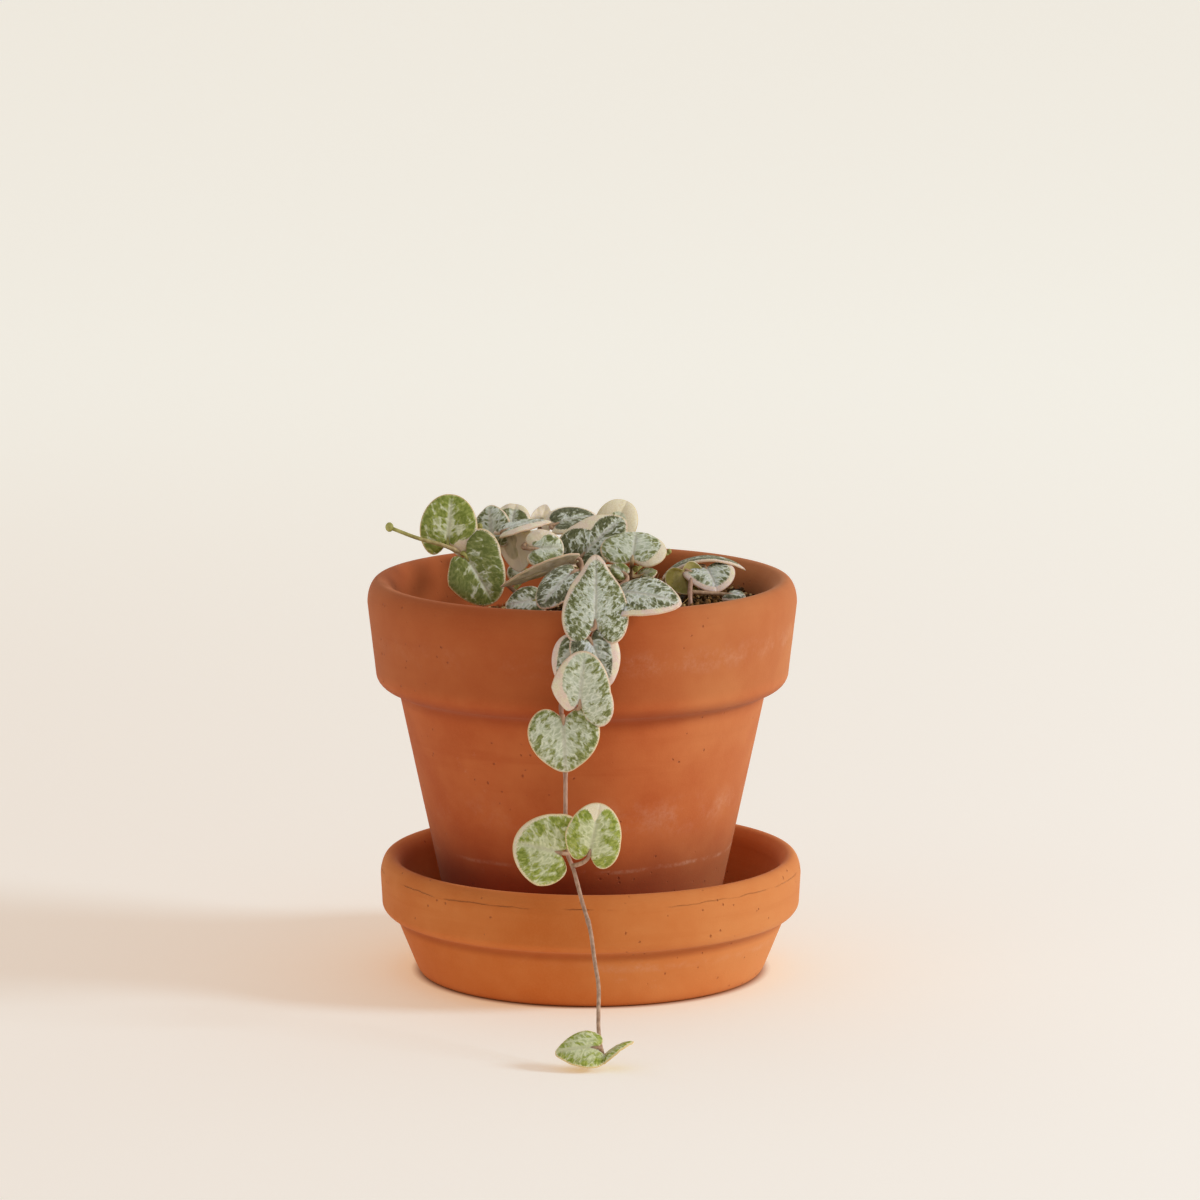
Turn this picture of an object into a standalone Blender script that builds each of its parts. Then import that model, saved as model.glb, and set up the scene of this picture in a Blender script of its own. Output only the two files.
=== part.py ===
"""A variegated string of hearts in a clay pot with its saucer.

The saucer stands on the origin, +Z is up and the vine trails over the rim towards -Y. Sizes and places
are millimetres, turned into Blender's metres by MM where a mesh is made.
"""

import math

import bmesh
import bpy
from mathutils import Matrix, Vector, noise

MM = 0.001
GAP = 0.3
TURN_STEPS = 64
MERGE = 0.00001

# Saucer: rolled rim, collar, step and a flat base that stands on z = 0.
SAUCER_HEIGHT = 29.8
SAUCER_LIP_RADIUS = 50.8
SAUCER_LIP_INWARD = 3.2
SAUCER_LIP_ROUND = 5.0
SAUCER_RIM_RADIUS = 53.2
SAUCER_RIM_DRAFT = 0.4
SAUCER_COLLAR_LOW = 15.4
SAUCER_COLLAR_TUCK = 1.6
SAUCER_STEP_RADIUS = 48.6
SAUCER_STEP_DEPTH = 3.0
SAUCER_BASE_RADIUS = 43.2
SAUCER_BASE_CHAMFER = (1.0, 1.6)
SAUCER_FLOOR = 6.5
SAUCER_WALL_TAPER = 2.2
SAUCER_WELL_RADIUS = 40.5
SAUCER_WELL_CORNER = (3.0, 2.2)

# Pot: a thick rolled rim, a tapering collar, a body that tapers to a foot, and a drain hole.
POT_X = -2.1
POT_FOOT = SAUCER_FLOOR + GAP
POT_TOP = 100.2
POT_LIP_RADIUS = 51.0
POT_LIP_INWARD = 4.2
POT_RIM_RADIUS = 54.0
POT_RIM_LOW = 94.3
POT_COLLAR_RADIUS = 52.0
POT_COLLAR_LOW = 76.8
POT_COLLAR_TUCK = 4.2
POT_NECK_RADIUS = 46.2
POT_NECK_HEIGHT = 71.6
POT_NECK_ROUND = 1.0
POT_FOOT_RADIUS = 31.4
POT_FOOT_CHAMFER = (1.4, 2.0)
POT_FLOOR = POT_FOOT + 7.0
POT_BORE_CORNER = 2.0
DRAIN_RADIUS = 5.0
BORE = ((27.0, POT_FLOOR + POT_BORE_CORNER), (42.6, 73.6), (46.6, 88.3))

# Potting mix: low on the left, heaped on the right, as the plant was set in.
SOIL_LOW = 86.0
SOIL_HIGH = 93.4
SOIL_RISE_START = -26.0
SOIL_RISE_RUN = 34.0
SOIL_FLAT = SOIL_LOW + 1.0
SOIL_FOOT_CORNER = (3.0, 2.5)
SOIL_RINGS = 7
SOIL_STEPS = 40
SOIL_CRUMB = 0.9
CRUMB_COARSE = 0.22
CRUMB_FINE = 0.6
ROOT_DEPTH = 7.0
ROOT_HOLE_SIDES = 12

# Stems, leaf stalks and blades.
STEM_RADIUS = 0.65
STALK_RADIUS = 0.5
STALK_SUNK = 1.8
STALK_BOW = 0.35
ROUTE_SPACING = 4.0
BLADE_THICKNESS = 1.3
BLADE_SIDES = 18
BLADE_INSET = 0.42
NOTCH_WIDTH = 0.33
POINT_WIDTH = 0.4

CLAY = (0.46, 0.17, 0.075)
PALE_CLAY = (0.56, 0.24, 0.09)
LEAF_GREEN = (0.30, 0.37, 0.22)
SOIL_BROWN = (0.06, 0.04, 0.025)


def clear_scene():
    for old in list(bpy.data.objects):
        bpy.data.objects.remove(old)


def new_material(name, colour, roughness):
    material = bpy.data.materials.new(name)
    material.use_nodes = True
    shader = material.node_tree.nodes["Principled BSDF"]
    shader.inputs["Base Color"].default_value = (*colour, 1.0)
    shader.inputs["Roughness"].default_value = roughness
    shader.inputs["Metallic"].default_value = 0.0
    return material


def new_collection(name, hidden=False):
    collection = bpy.data.collections.new(name)
    collection.hide_render = hidden
    bpy.context.scene.collection.children.link(collection)
    return collection


def mesh_object(name, mesh, collection, material=None):
    made = bpy.data.objects.new(name, mesh)
    collection.objects.link(made)
    if material:
        mesh.materials.append(material)
    return made


def mesh_from(shell, name, collection):
    """An object from a bmesh, which is freed."""
    mesh = bpy.data.meshes.new(name)
    shell.to_mesh(mesh)
    shell.free()
    return mesh_object(name, mesh, collection)


def evaluated_mesh(obj):
    bpy.context.view_layer.update()
    graph = bpy.context.evaluated_depsgraph_get()
    return bpy.data.meshes.new_from_object(obj.evaluated_get(graph))


def arc(centre_r, centre_z, radius_r, radius_z, start, end, points):
    """Points (r, z) on an elliptical arc; angles in degrees from +r towards +z."""
    found = []
    for i in range(points):
        angle = math.radians(start + (end - start) * i / (points - 1))
        found.append((centre_r + radius_r * math.cos(angle), centre_z + radius_z * math.sin(angle)))
    return found


def turned(name, profile, closed, centre_x, collection, material):
    """A profile of (r, z) points in millimetres, turned about a vertical axis at centre_x."""
    mesh = bpy.data.meshes.new(name)
    points = [(r * MM, 0.0, z * MM) for r, z in profile]
    edges = [(i, i + 1) for i in range(len(points) - 1)]
    if closed:
        edges.append((len(points) - 1, 0))
    mesh.from_pydata(points, edges, [])
    made = mesh_object(name, mesh, collection, material)
    made.location.x = centre_x * MM
    screw = made.modifiers.new("turn", "SCREW")
    screw.axis = "Z"
    screw.steps = TURN_STEPS
    screw.render_steps = TURN_STEPS
    screw.use_merge_vertices = True
    screw.merge_threshold = MERGE
    screw.use_smooth_shade = True
    return made


def saucer(collection, material):
    lip_z = SAUCER_HEIGHT - SAUCER_LIP_ROUND
    corner_r, corner_z = SAUCER_WELL_CORNER
    chamfer_r, chamfer_z = SAUCER_BASE_CHAMFER
    profile = [(0.0, SAUCER_FLOOR), (SAUCER_WELL_RADIUS - corner_r, SAUCER_FLOOR)]
    profile += [(SAUCER_WELL_RADIUS, SAUCER_FLOOR + corner_z)]
    profile += [(SAUCER_LIP_RADIUS - SAUCER_LIP_INWARD - SAUCER_WALL_TAPER, SAUCER_COLLAR_LOW)]
    profile += arc(SAUCER_LIP_RADIUS, lip_z, SAUCER_LIP_INWARD, SAUCER_LIP_ROUND, 180, 90, 5)
    outward = SAUCER_RIM_RADIUS - SAUCER_LIP_RADIUS
    profile += arc(SAUCER_LIP_RADIUS, lip_z, outward, SAUCER_LIP_ROUND, 90, 0, 5)[1:]
    profile += [(SAUCER_RIM_RADIUS - SAUCER_RIM_DRAFT, SAUCER_COLLAR_LOW + SAUCER_COLLAR_TUCK)]
    profile += [(SAUCER_RIM_RADIUS - SAUCER_COLLAR_TUCK, SAUCER_COLLAR_LOW)]
    cove_r = SAUCER_STEP_RADIUS + SAUCER_STEP_DEPTH
    cove_z = SAUCER_COLLAR_LOW - SAUCER_STEP_DEPTH
    profile += arc(cove_r, cove_z, SAUCER_STEP_DEPTH, SAUCER_STEP_DEPTH, 120, 180, 3)
    profile += [(SAUCER_BASE_RADIUS + chamfer_r, chamfer_z), (SAUCER_BASE_RADIUS, 0.0), (0.0, 0.0)]
    return turned("saucer", profile, False, 0.0, collection, material)


def pot(collection, material):
    height = POT_TOP - POT_RIM_LOW
    tuck_r = POT_NECK_RADIUS + POT_NECK_ROUND
    chamfer_r, chamfer_z = POT_FOOT_CHAMFER
    profile = arc(POT_LIP_RADIUS, POT_RIM_LOW, POT_RIM_RADIUS - POT_LIP_RADIUS, height, 90, 0, 5)
    profile += arc(tuck_r, POT_COLLAR_LOW, POT_COLLAR_RADIUS - tuck_r, POT_COLLAR_TUCK, 0, -75, 4)
    profile += [(POT_NECK_RADIUS, POT_NECK_HEIGHT), (POT_FOOT_RADIUS + chamfer_r, POT_FOOT + chamfer_z)]
    profile += [(POT_FOOT_RADIUS, POT_FOOT), (DRAIN_RADIUS, POT_FOOT), (DRAIN_RADIUS, POT_FLOOR)]
    profile += [(BORE[0][0] - POT_BORE_CORNER, POT_FLOOR), *BORE]
    profile += arc(POT_LIP_RADIUS, POT_RIM_LOW, POT_LIP_INWARD, height, 180, 112, 4)
    return turned("pot", profile, True, POT_X, collection, material)


def soil_height(x, y):
    """Top of the potting mix: a slope up to the right and loose crumbs, in millimetres."""
    share = min(1.0, max(0.0, (x - SOIL_RISE_START) / SOIL_RISE_RUN))
    level = SOIL_LOW + (SOIL_HIGH - SOIL_LOW) * share * share * (3.0 - 2.0 * share)
    coarse = noise.noise(Vector((x * CRUMB_COARSE, y * CRUMB_COARSE, 4.0)))
    fine = noise.noise(Vector((x * CRUMB_FINE, y * CRUMB_FINE, 9.0)))
    return level + SOIL_CRUMB * (coarse + 0.7 * fine)


def soil_radius(z):
    """Radius of the mix at a height, a gap inside the pot's wall."""
    for (r0, z0), (r1, z1) in zip(BORE, BORE[1:]):
        if z <= z1:
            return r0 + (r1 - r0) * (z - z0) / (z1 - z0) - 2.0 * GAP
    return BORE[-1][0] - 2.0 * GAP


def soil(collection, material, roots):
    """The mix fills the pot, with a plain hole for each stem."""
    rim = soil_radius(SOIL_FLAT)
    corner_r, corner_z = SOIL_FOOT_CORNER
    corner_z += POT_FLOOR
    profile = [(rim * i / SOIL_RINGS, SOIL_FLAT) for i in range(SOIL_RINGS + 1)]
    profile += [(soil_radius(POT_NECK_HEIGHT), POT_NECK_HEIGHT), (soil_radius(corner_z), corner_z)]
    profile += [(BORE[0][0] - corner_r, POT_FLOOR + GAP), (0.0, POT_FLOOR + GAP)]
    made = turned("soil", profile, False, POT_X, collection, material)
    made.modifiers["turn"].steps = SOIL_STEPS
    made.modifiers["turn"].render_steps = SOIL_STEPS
    heaped = evaluated_mesh(made)
    for vertex in heaped.vertices:
        if vertex.co.z > (SOIL_FLAT - GAP) * MM:
            vertex.co.z = soil_height(vertex.co.x / MM + POT_X, vertex.co.y / MM) * MM
    made.modifiers.clear()
    made.data = heaped
    holes = new_collection("root_holes", hidden=True)
    for x, y in roots:
        shell = bmesh.new()
        place = Matrix.Translation(Vector((x, y, soil_height(x, y))) * MM)
        size = (STEM_RADIUS + GAP) * MM
        depth = 2.0 * (ROOT_DEPTH + GAP) * MM
        bmesh.ops.create_cone(
            shell, cap_ends=True, segments=ROOT_HOLE_SIDES,
            radius1=size, radius2=size, depth=depth, matrix=place
        )
        mesh_from(shell, "root_hole", holes)
    cut = made.modifiers.new("holes", "BOOLEAN")
    cut.operation = "DIFFERENCE"
    cut.operand_type = "COLLECTION"
    cut.collection = holes
    made.data = evaluated_mesh(made)
    made.modifiers.clear()
    for hole in list(holes.objects):
        bpy.data.objects.remove(hole)
    return made


def leaf(base, tip, face, width, notch=0.5, point=0.1, lean=0.0, taper=0.14, fold=10.0, bend=14.0, cup=0.8):
    """One heart: base is its notch, tip its point, face the way its upper side looks, in millimetres.

    notch and point are shares of the blade's half length, lean how much longer its right lobe is than its
    left, taper how much it narrows to its point, fold the angle that each half rises from the midrib, bend
    the arch along the midrib, and cup how far the margin turns down.
    """
    return {
        "base": Vector(base),
        "tip": Vector(tip),
        "face": Vector(face),
        "width": width,
        "notch": notch,
        "point": point,
        "lean": lean,
        "taper": taper,
        "fold": math.radians(fold),
        "bend": math.radians(bend),
        "cup": cup,
    }


def blade_point(shape, share, angle):
    """Point of the blade's middle surface, share of the way from its heart to its margin.

    Angle 0 is towards the tip, pi towards the notch, and a positive one is on the blade's right.
    """
    along = shape["tip"] - shape["base"]
    length = along.length
    turn = abs(angle)
    reach = 1.0 - shape["notch"] * math.exp(-(((math.pi - turn) / NOTCH_WIDTH) ** 2))
    reach += shape["point"] * math.exp(-((turn / POINT_WIDTH) ** 2))
    reach += math.copysign(1.0, angle) * shape["lean"] * max(0.0, -math.sin(2.0 * turn))
    scale = length / (2.0 + shape["point"] - shape["notch"])
    x = share * 0.5 * shape["width"] * reach * math.sin(angle) * (1.0 - shape["taper"] * math.cos(turn))
    y = scale * (1.0 - shape["notch"] + share * reach * math.cos(turn))
    rise = math.sin(shape["fold"]) * (math.hypot(x, 1.0) - 1.0) - shape["cup"] * share**4
    half = 0.5 * shape["bend"]
    radius = 0.5 * length / math.sin(half)
    swing = half * (2.0 * y / length - 1.0)
    forward = along.normalized()
    up = (shape["face"] - shape["face"].dot(forward) * forward).normalized()
    right = forward.cross(up)
    place = shape["base"] + right * x * math.cos(shape["fold"])
    place += forward * (0.5 * length + (radius + rise) * math.sin(swing))
    return place + up * ((radius + rise) * math.cos(swing) - radius * math.cos(half))


def blade(name, shape, collection):
    """A heart-shaped blade from a disc: its rim becomes the margin, and Solidify gives its flesh."""
    shell = bmesh.new()
    bmesh.ops.create_circle(shell, cap_ends=True, segments=BLADE_SIDES, radius=1.0)
    middle = bmesh.ops.inset_region(shell, faces=shell.faces[:], thickness=BLADE_INSET)
    bmesh.ops.poke(shell, faces=[f for f in shell.faces if f not in middle["faces"]])
    bmesh.ops.triangulate(shell, faces=shell.faces[:])
    for vertex in shell.verts:
        share = min(1.0, vertex.co.length)
        angle = math.atan2(vertex.co.x, vertex.co.y)
        vertex.co = blade_point(shape, share, angle) * MM
    made = mesh_from(shell, name, collection)
    flesh = made.modifiers.new("flesh", "SOLIDIFY")
    flesh.thickness = BLADE_THICKNESS * MM
    flesh.offset = 0.0
    flesh.use_even_offset = False
    return made


def smooth_route(points, spacing=ROUTE_SPACING):
    """Evenly spaced points on a smooth curve through the route's points."""
    knots = [Vector(p) for p in points]
    ends = [2.0 * knots[0] - knots[1], *knots, 2.0 * knots[-1] - knots[-2]]
    found = []
    for a, b, c, d in zip(ends, ends[1:], ends[2:], ends[3:]):
        steps = max(1, round((c - b).length / spacing))
        for i in range(steps):
            t = i / steps
            found.append(
                0.5 * (2.0 * b + (c - a) * t + (2.0 * a - 5.0 * b + 4.0 * c - d) * t * t)
                + 0.5 * (3.0 * b - a - 3.0 * c + d) * t * t * t
            )
    found.append(knots[-1])
    return found


def tube(name, points, radius, collection):
    """A round stem or stalk along points, as a closed mesh."""
    line = bpy.data.curves.new(name, "CURVE")
    line.dimensions = "3D"
    line.bevel_depth = radius * MM
    line.bevel_resolution = 1
    line.use_fill_caps = True
    spline = line.splines.new("POLY")
    spline.points.add(len(points) - 1)
    for target, point in zip(spline.points, points):
        target.co = (*(point * MM), 1.0)
    guide = bpy.data.objects.new(name, line)
    collection.objects.link(guide)
    mesh = evaluated_mesh(guide)
    bpy.data.objects.remove(guide)
    welded = bmesh.new()
    welded.from_mesh(mesh)
    bmesh.ops.remove_doubles(welded, verts=welded.verts[:], dist=MERGE)
    welded.to_mesh(mesh)
    welded.free()
    return mesh_object(name, mesh, collection)


def stalk(name, shape, route, collection):
    """The leaf stalk: from the nearest point of the stem into the blade at its notch."""
    start = min(route, key=lambda p: (p - shape["base"]).length)
    forward = (shape["tip"] - shape["base"]).normalized()
    end = shape["base"] + forward * STALK_SUNK
    reach = (shape["base"] - start).length
    bow = shape["base"] - forward * STALK_BOW * reach
    points = [start]
    for t in (STALK_BOW, 2.0 * STALK_BOW):
        points.append((1.0 - t) ** 2 * start + 2.0 * t * (1.0 - t) * bow + t * t * shape["base"])
    points += [shape["base"], end]
    return tube(name, points, STALK_RADIUS, collection)


def bud(name, place, size, collection):
    shell = bmesh.new()
    at = Matrix.Translation(Vector(place) * MM)
    bmesh.ops.create_uvsphere(shell, u_segments=8, v_segments=6, radius=size * MM, matrix=at)
    return mesh_from(shell, name, collection)


def leafy_stem(name, plan, collection, material):
    """A stem with its leaves and buds, joined into one solid."""
    pieces = new_collection(name + "_pieces")
    route = smooth_route(plan["route"])
    body = tube(name, route, STEM_RADIUS, collection)
    for i, shape in enumerate(plan["leaves"]):
        blade(f"{name}_blade_{i}", shape, pieces)
        stalk(f"{name}_stalk_{i}", shape, route, pieces)
    for i, shoot in enumerate(plan.get("shoots", [])):
        tube(f"{name}_shoot_{i}", smooth_route(shoot), STALK_RADIUS, pieces)
    for i, (place, size) in enumerate(plan.get("buds", [])):
        bud(f"{name}_bud_{i}", place, size, pieces)
    join = body.modifiers.new("join", "BOOLEAN")
    join.operation = "UNION"
    join.operand_type = "COLLECTION"
    join.collection = pieces
    join.solver = "MANIFOLD"
    body.data = evaluated_mesh(body)
    body.modifiers.clear()
    body.data.materials.clear()
    body.data.materials.append(material)
    for piece in list(pieces.objects):
        bpy.data.objects.remove(piece)
    bpy.data.collections.remove(pieces)
    return body


def rooted(x, y, *rest):
    """A stem's route, starting upright in its hole in the mix."""
    top = soil_height(x, y)
    return [(x, y, top - ROOT_DEPTH), (x, y, top - 0.5 * ROOT_DEPTH), (x, y, top + 1.0), *rest]


ROOTS = {
    "vine_trailing": (-4.0, -22.0),
    "vine_left": (-13.0, -8.0),
    "vine_crown_left": (-6.0, 4.0),
    "vine_crown_middle": (1.0, -4.0),
    "vine_crown_right": (9.0, -6.0),
    "vine_right": (25.0, -2.0),
    "vine_back": (-2.0, 16.0),
}

VINES = {
    "vine_trailing": {
        "route": rooted(
            *ROOTS["vine_trailing"],
            (-4.0, -24.0, 97.0),
            (-4.0, -32.0, 101.5),
            (-4.0, -42.0, 104.0),
            (-3.5, -50.0, 103.2),
            (-2.5, -55.0, 99.5),
            (-1.5, -56.8, 95.5),
            (-2.5, -56.8, 92.0),
            (-4.0, -56.5, 88.0),
            (-5.5, -56.5, 83.0),
            (-7.0, -56.8, 78.0),
            (-6.5, -57.0, 73.0),
            (-6.0, -57.0, 67.0),
            (-6.0, -57.0, 61.0),
            (-6.0, -58.0, 52.5),
            (-6.0, -60.0, 46.5),
            (-5.5, -62.0, 42.5),
            (-4.0, -64.0, 39.0),
            (-2.0, -69.0, 32.5),
            (0.0, -76.0, 27.0),
            (1.0, -83.0, 21.5),
            (2.0, -90.0, 16.5),
            (2.0, -96.0, 12.0),
            (2.0, -99.5, 8.6),
            (2.4, -102.5, 5.6),
            (2.9, -105.0, 4.0),
        ),
        "leaves": [
            leaf((1.2, -57.8, 97.6), (1.3, -48.0, 114.0), (0.0, -0.88, 0.45), 15.8,
                 notch=0.55, point=0.3, taper=0.24, fold=4),
            leaf((6.4, -50.0, 104.7), (22.0, -55.5, 103.0), (0.1, -0.6, 0.8), 14.2,
                 notch=0.35, lean=0.2, fold=2),
            leaf((-3.8, -34.4, 107.4), (-12.2, -42.5, 99.8), (-0.5, -0.75, 0.4), 11.5,
                 notch=0.4, point=0.0, fold=4),
            leaf((-3.8, -22.0, 108.4), (-22.3, -26.0, 102.2), (-0.3, 0.46, 0.85), 10.4,
                 notch=0.25, point=0.2, fold=6, bend=2, cup=0.2),
            leaf((-3.6, -58.0, 93.0), (-7.2, -59.0, 83.5), (-0.2, -0.95, 0.2), 9.5),
            leaf((0.0, -58.0, 94.5), (4.5, -59.5, 83.0), (0.15, -0.97, 0.2), 12.0),
            leaf((-2.5, -62.0, 79.0), (-1.5, -63.0, 92.5), (0.0, -1.0, 0.1), 14.6,
                 notch=0.55, point=0.0, lean=0.25),
            leaf((-6.5, -59.5, 75.5), (-6.0, -60.0, 62.0), (0.0, -1.0, 0.0), 17.6,
                 notch=0.45, point=0.12),
            leaf((-7.0, -63.0, 43.0), (-18.5, -64.0, 46.2), (-0.1, -1.0, 0.1), 18.4,
                 notch=0.55, point=0.0, lean=0.1),
            leaf((-0.3, -66.0, 43.0), (2.4, -67.0, 56.0), (0.1, -1.0, 0.1), 13.9,
                 notch=0.45, point=0.0, lean=0.1, taper=0.04),
            leaf((1.8, -105.0, 5.2), (-8.3, -106.0, 4.4), (-0.05, -0.66, 0.75), 10.4,
                 notch=0.45, taper=0.26, fold=2),
            leaf((3.0, -105.3, 2.4), (10.0, -103.0, 6.8), (-0.63, 0.06, 0.77), 7.5,
                 notch=0.3, fold=4),
            leaf((8.4, -24.0, 105.0), (4.8, -23.0, 107.0), (0.0, -0.8, 0.6), 4.8),
        ],
    },
    "vine_left": {
        "route": rooted(
            *ROOTS["vine_left"],
            (-15.0, -8.5, 94.0),
            (-21.0, -9.0, 100.0),
            (-27.0, -10.5, 105.0),
            (-32.0, -12.5, 108.2),
            (-36.0, -14.5, 110.4),
            (-43.0, -15.5, 112.6),
            (-49.0, -16.0, 115.0),
        ),
        "leaves": [
            leaf((-35.5, -12.0, 110.7), (-34.6, -10.0, 122.9), (0.0, -1.0, 0.15), 14.6,
                 notch=0.55, point=0.0, taper=0.04),
            leaf((-31.0, -14.5, 108.0), (-24.0, -18.0, 96.6), (0.1, -0.97, 0.2), 15.4,
                 notch=0.5, point=0.0, lean=-0.25),
            leaf((-13.0, -29.0, 99.2), (-21.0, -30.0, 97.8), (0.0, -0.8, 0.6), 9.0, fold=4),
            leaf((-16.4, 1.0, 101.8), (-20.4, -4.0, 101.3), (0.0, -0.7, 0.7), 6.5),
        ],
        "shoots": [[(-32.0, -12.5, 108.2), (-29.5, -11.0, 111.0), (-27.8, -10.0, 114.0)]],
        "buds": [((-49.8, -16.0, 115.4), 1.2), ((-27.6, -10.0, 114.6), 0.9)],
    },
    "vine_crown_left": {
        "route": rooted(
            *ROOTS["vine_crown_left"],
            (-7.5, 3.0, 98.0),
            (-11.0, 1.0, 104.0),
            (-15.0, 0.0, 108.5),
            (-19.0, 0.0, 110.5),
            (-23.0, 1.0, 110.5),
        ),
        "leaves": [
            leaf((-24.5, 0.0, 109.5), (-25.5, 6.0, 118.0), (-0.3, -0.8, 0.5), 10.5),
            leaf((-20.4, 6.0, 110.4), (-18.8, 11.0, 117.6), (0.0, -0.8, 0.6), 9.8,
                 point=0.0, taper=0.05),
            leaf((-21.4, -6.0, 113.0), (-9.8, -2.0, 115.2), (-0.1, -0.14, 0.98), 9.0, point=0.2),
            leaf((-20.6, -1.0, 112.6), (-16.6, -6.0, 102.6), (0.25, 0.9, 0.3), 11.0,
                 notch=0.3, fold=24),
            leaf((-14.2, -13.0, 109.5), (-6.3, -11.4, 109.4), (-0.1, -0.9, 0.4), 10.0, point=0.0),
            leaf((-13.0, 19.0, 110.0), (-11.5, 23.0, 115.0), (0.1, 0.8, 0.5), 6.0),
        ],
    },
    "vine_crown_middle": {
        "route": rooted(
            *ROOTS["vine_crown_middle"],
            (0.0, -5.0, 98.0),
            (-1.0, -2.0, 104.0),
            (-2.0, 6.0, 107.5),
            (0.0, 14.0, 108.5),
            (3.0, 22.0, 107.5),
        ),
        "leaves": [
            leaf((-2.6, -10.0, 106.8), (8.4, -4.0, 116.2), (-0.2, -0.8, 0.5), 14.6,
                 notch=0.4, lean=-0.15, fold=14),
            leaf((-9.6, 13.0, 111.5), (2.5, 17.0, 113.3), (0.0, -0.38, 0.92), 12.6,
                 notch=0.3, point=0.05),
            leaf((5.2, 26.0, 107.4), (9.4, 30.0, 115.4), (0.1, -0.9, 0.4), 11.0,
                 point=0.0, taper=0.05),
        ],
    },
    "vine_crown_right": {
        "route": rooted(
            *ROOTS["vine_crown_right"],
            (9.5, -9.0, 98.5),
            (10.0, -13.0, 103.0),
            (10.2, -17.0, 106.0),
        ),
        "leaves": [
            leaf((10.3, -19.5, 107.6), (11.5, -10.0, 113.8), (0.0, -0.56, 0.83), 16.4,
                 notch=0.35, point=0.0, fold=4),
            leaf((12.5, -12.0, 102.5), (16.5, -12.0, 104.0), (0.0, -0.7, 0.7), 4.0),
        ],
        "shoots": [[(10.0, -13.0, 103.0), (14.0, -10.0, 105.6), (19.4, -9.0, 107.8)]],
        "buds": [((11.2, -17.5, 105.2), 0.9), ((19.6, -9.0, 108.2), 0.7)],
    },
    "vine_right": {
        "route": rooted(
            *ROOTS["vine_right"],
            (25.0, 1.0, 97.0),
            (25.5, 5.0, 100.0),
            (26.0, 8.5, 101.0),
        ),
        "leaves": [
            leaf((28.8, 9.6, 101.4), (31.8, 1.5, 96.7), (0.1, -0.5, 0.86), 13.8,
                 notch=0.4, point=0.0),
            leaf((21.0, 12.0, 100.4), (39.6, 12.0, 100.6), (0.0, 0.05, 1.0), 9.0, bend=60),
            leaf((23.0, 6.0, 101.0), (25.9, 3.0, 95.2), (-0.2, 0.95, -0.3), 10.6, fold=16),
            leaf((34.6, 1.0, 95.6), (38.8, -2.0, 95.6), (-0.2, -0.2, 0.95), 5.6, bend=8),
        ],
    },
    "vine_back": {
        "route": rooted(
            *ROOTS["vine_back"],
            (-3.0, 20.0, 97.0),
            (-5.0, 26.0, 101.5),
            (-9.0, 32.0, 103.5),
            (-15.0, 36.0, 103.0),
        ),
        "leaves": [
            leaf((-5.0, 28.0, 103.0), (2.0, 37.0, 104.0), (0.0, 0.5, 0.85), 13.0),
            leaf((-12.0, 33.0, 105.0), (-24.0, 30.0, 106.0), (0.0, 0.3, 0.95), 12.5),
            leaf((-15.0, 38.0, 102.5), (-19.0, 46.0, 104.5), (0.0, -0.3, 0.95), 11.0),
            leaf((-1.0, 21.0, 98.5), (9.0, 26.0, 98.0), (0.1, 0.3, 0.95), 12.0),
            leaf((-6.0, 22.0, 99.0), (-17.0, 18.0, 97.5), (0.1, 0.3, 0.95), 11.5),
        ],
    },
}


def main():
    clear_scene()
    clay = new_material("clay", CLAY, 0.85)
    pale_clay = new_material("pale_clay", PALE_CLAY, 0.85)
    mix = new_material("potting_mix", SOIL_BROWN, 0.95)
    leaves = new_material("variegated_leaf", LEAF_GREEN, 0.45)
    collection = new_collection("string_of_hearts")
    saucer(collection, pale_clay)
    pot(collection, clay)
    soil(collection, mix, ROOTS.values())
    for name, plan in VINES.items():
        leafy_stem(name, plan, collection, leaves)


main()
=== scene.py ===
"""Dresses the potted string of hearts: clay, potting mix, stems and variegated leaves.

Sizes and places are millimetres in the frame of the solids, turned into metres by MM where a mesh is made.
Only the sweep and the lamps are given in metres. A pattern's scale is its repeats in a metre, or in a
millimetre on a leaf.
"""

import math
import random

import bmesh
import bpy
from mathutils import Euler, Matrix, Vector, noise


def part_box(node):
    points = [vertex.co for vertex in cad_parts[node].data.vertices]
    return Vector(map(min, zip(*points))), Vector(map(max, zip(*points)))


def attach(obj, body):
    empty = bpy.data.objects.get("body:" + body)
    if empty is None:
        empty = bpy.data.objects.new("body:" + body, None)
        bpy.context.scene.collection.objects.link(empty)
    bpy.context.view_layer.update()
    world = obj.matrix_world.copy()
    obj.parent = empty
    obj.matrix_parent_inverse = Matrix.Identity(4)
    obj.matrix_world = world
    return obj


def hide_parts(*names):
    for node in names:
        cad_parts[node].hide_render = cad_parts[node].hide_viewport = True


MM = 0.001
BODY = "root"

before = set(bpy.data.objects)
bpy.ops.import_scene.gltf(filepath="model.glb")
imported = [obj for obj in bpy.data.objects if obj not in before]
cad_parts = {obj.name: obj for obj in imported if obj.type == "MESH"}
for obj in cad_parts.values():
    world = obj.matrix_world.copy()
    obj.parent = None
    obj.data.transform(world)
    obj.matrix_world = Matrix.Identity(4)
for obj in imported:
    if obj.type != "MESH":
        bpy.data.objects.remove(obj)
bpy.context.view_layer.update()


def span(node):
    """A turned node's axis in x, widest radius, lowest z and highest z, in millimetres."""
    low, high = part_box(node)
    return (low.x + high.x) / 2 / MM, (high.x - low.x) / 2 / MM, low.z / MM, high.z / MM


SAUCER_X, SAUCER_RIM_RADIUS, SAUCER_BASE, SAUCER_TOP = span("saucer")
POT_X, POT_RIM_RADIUS, POT_FOOT, POT_TOP = span("pot")

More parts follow.
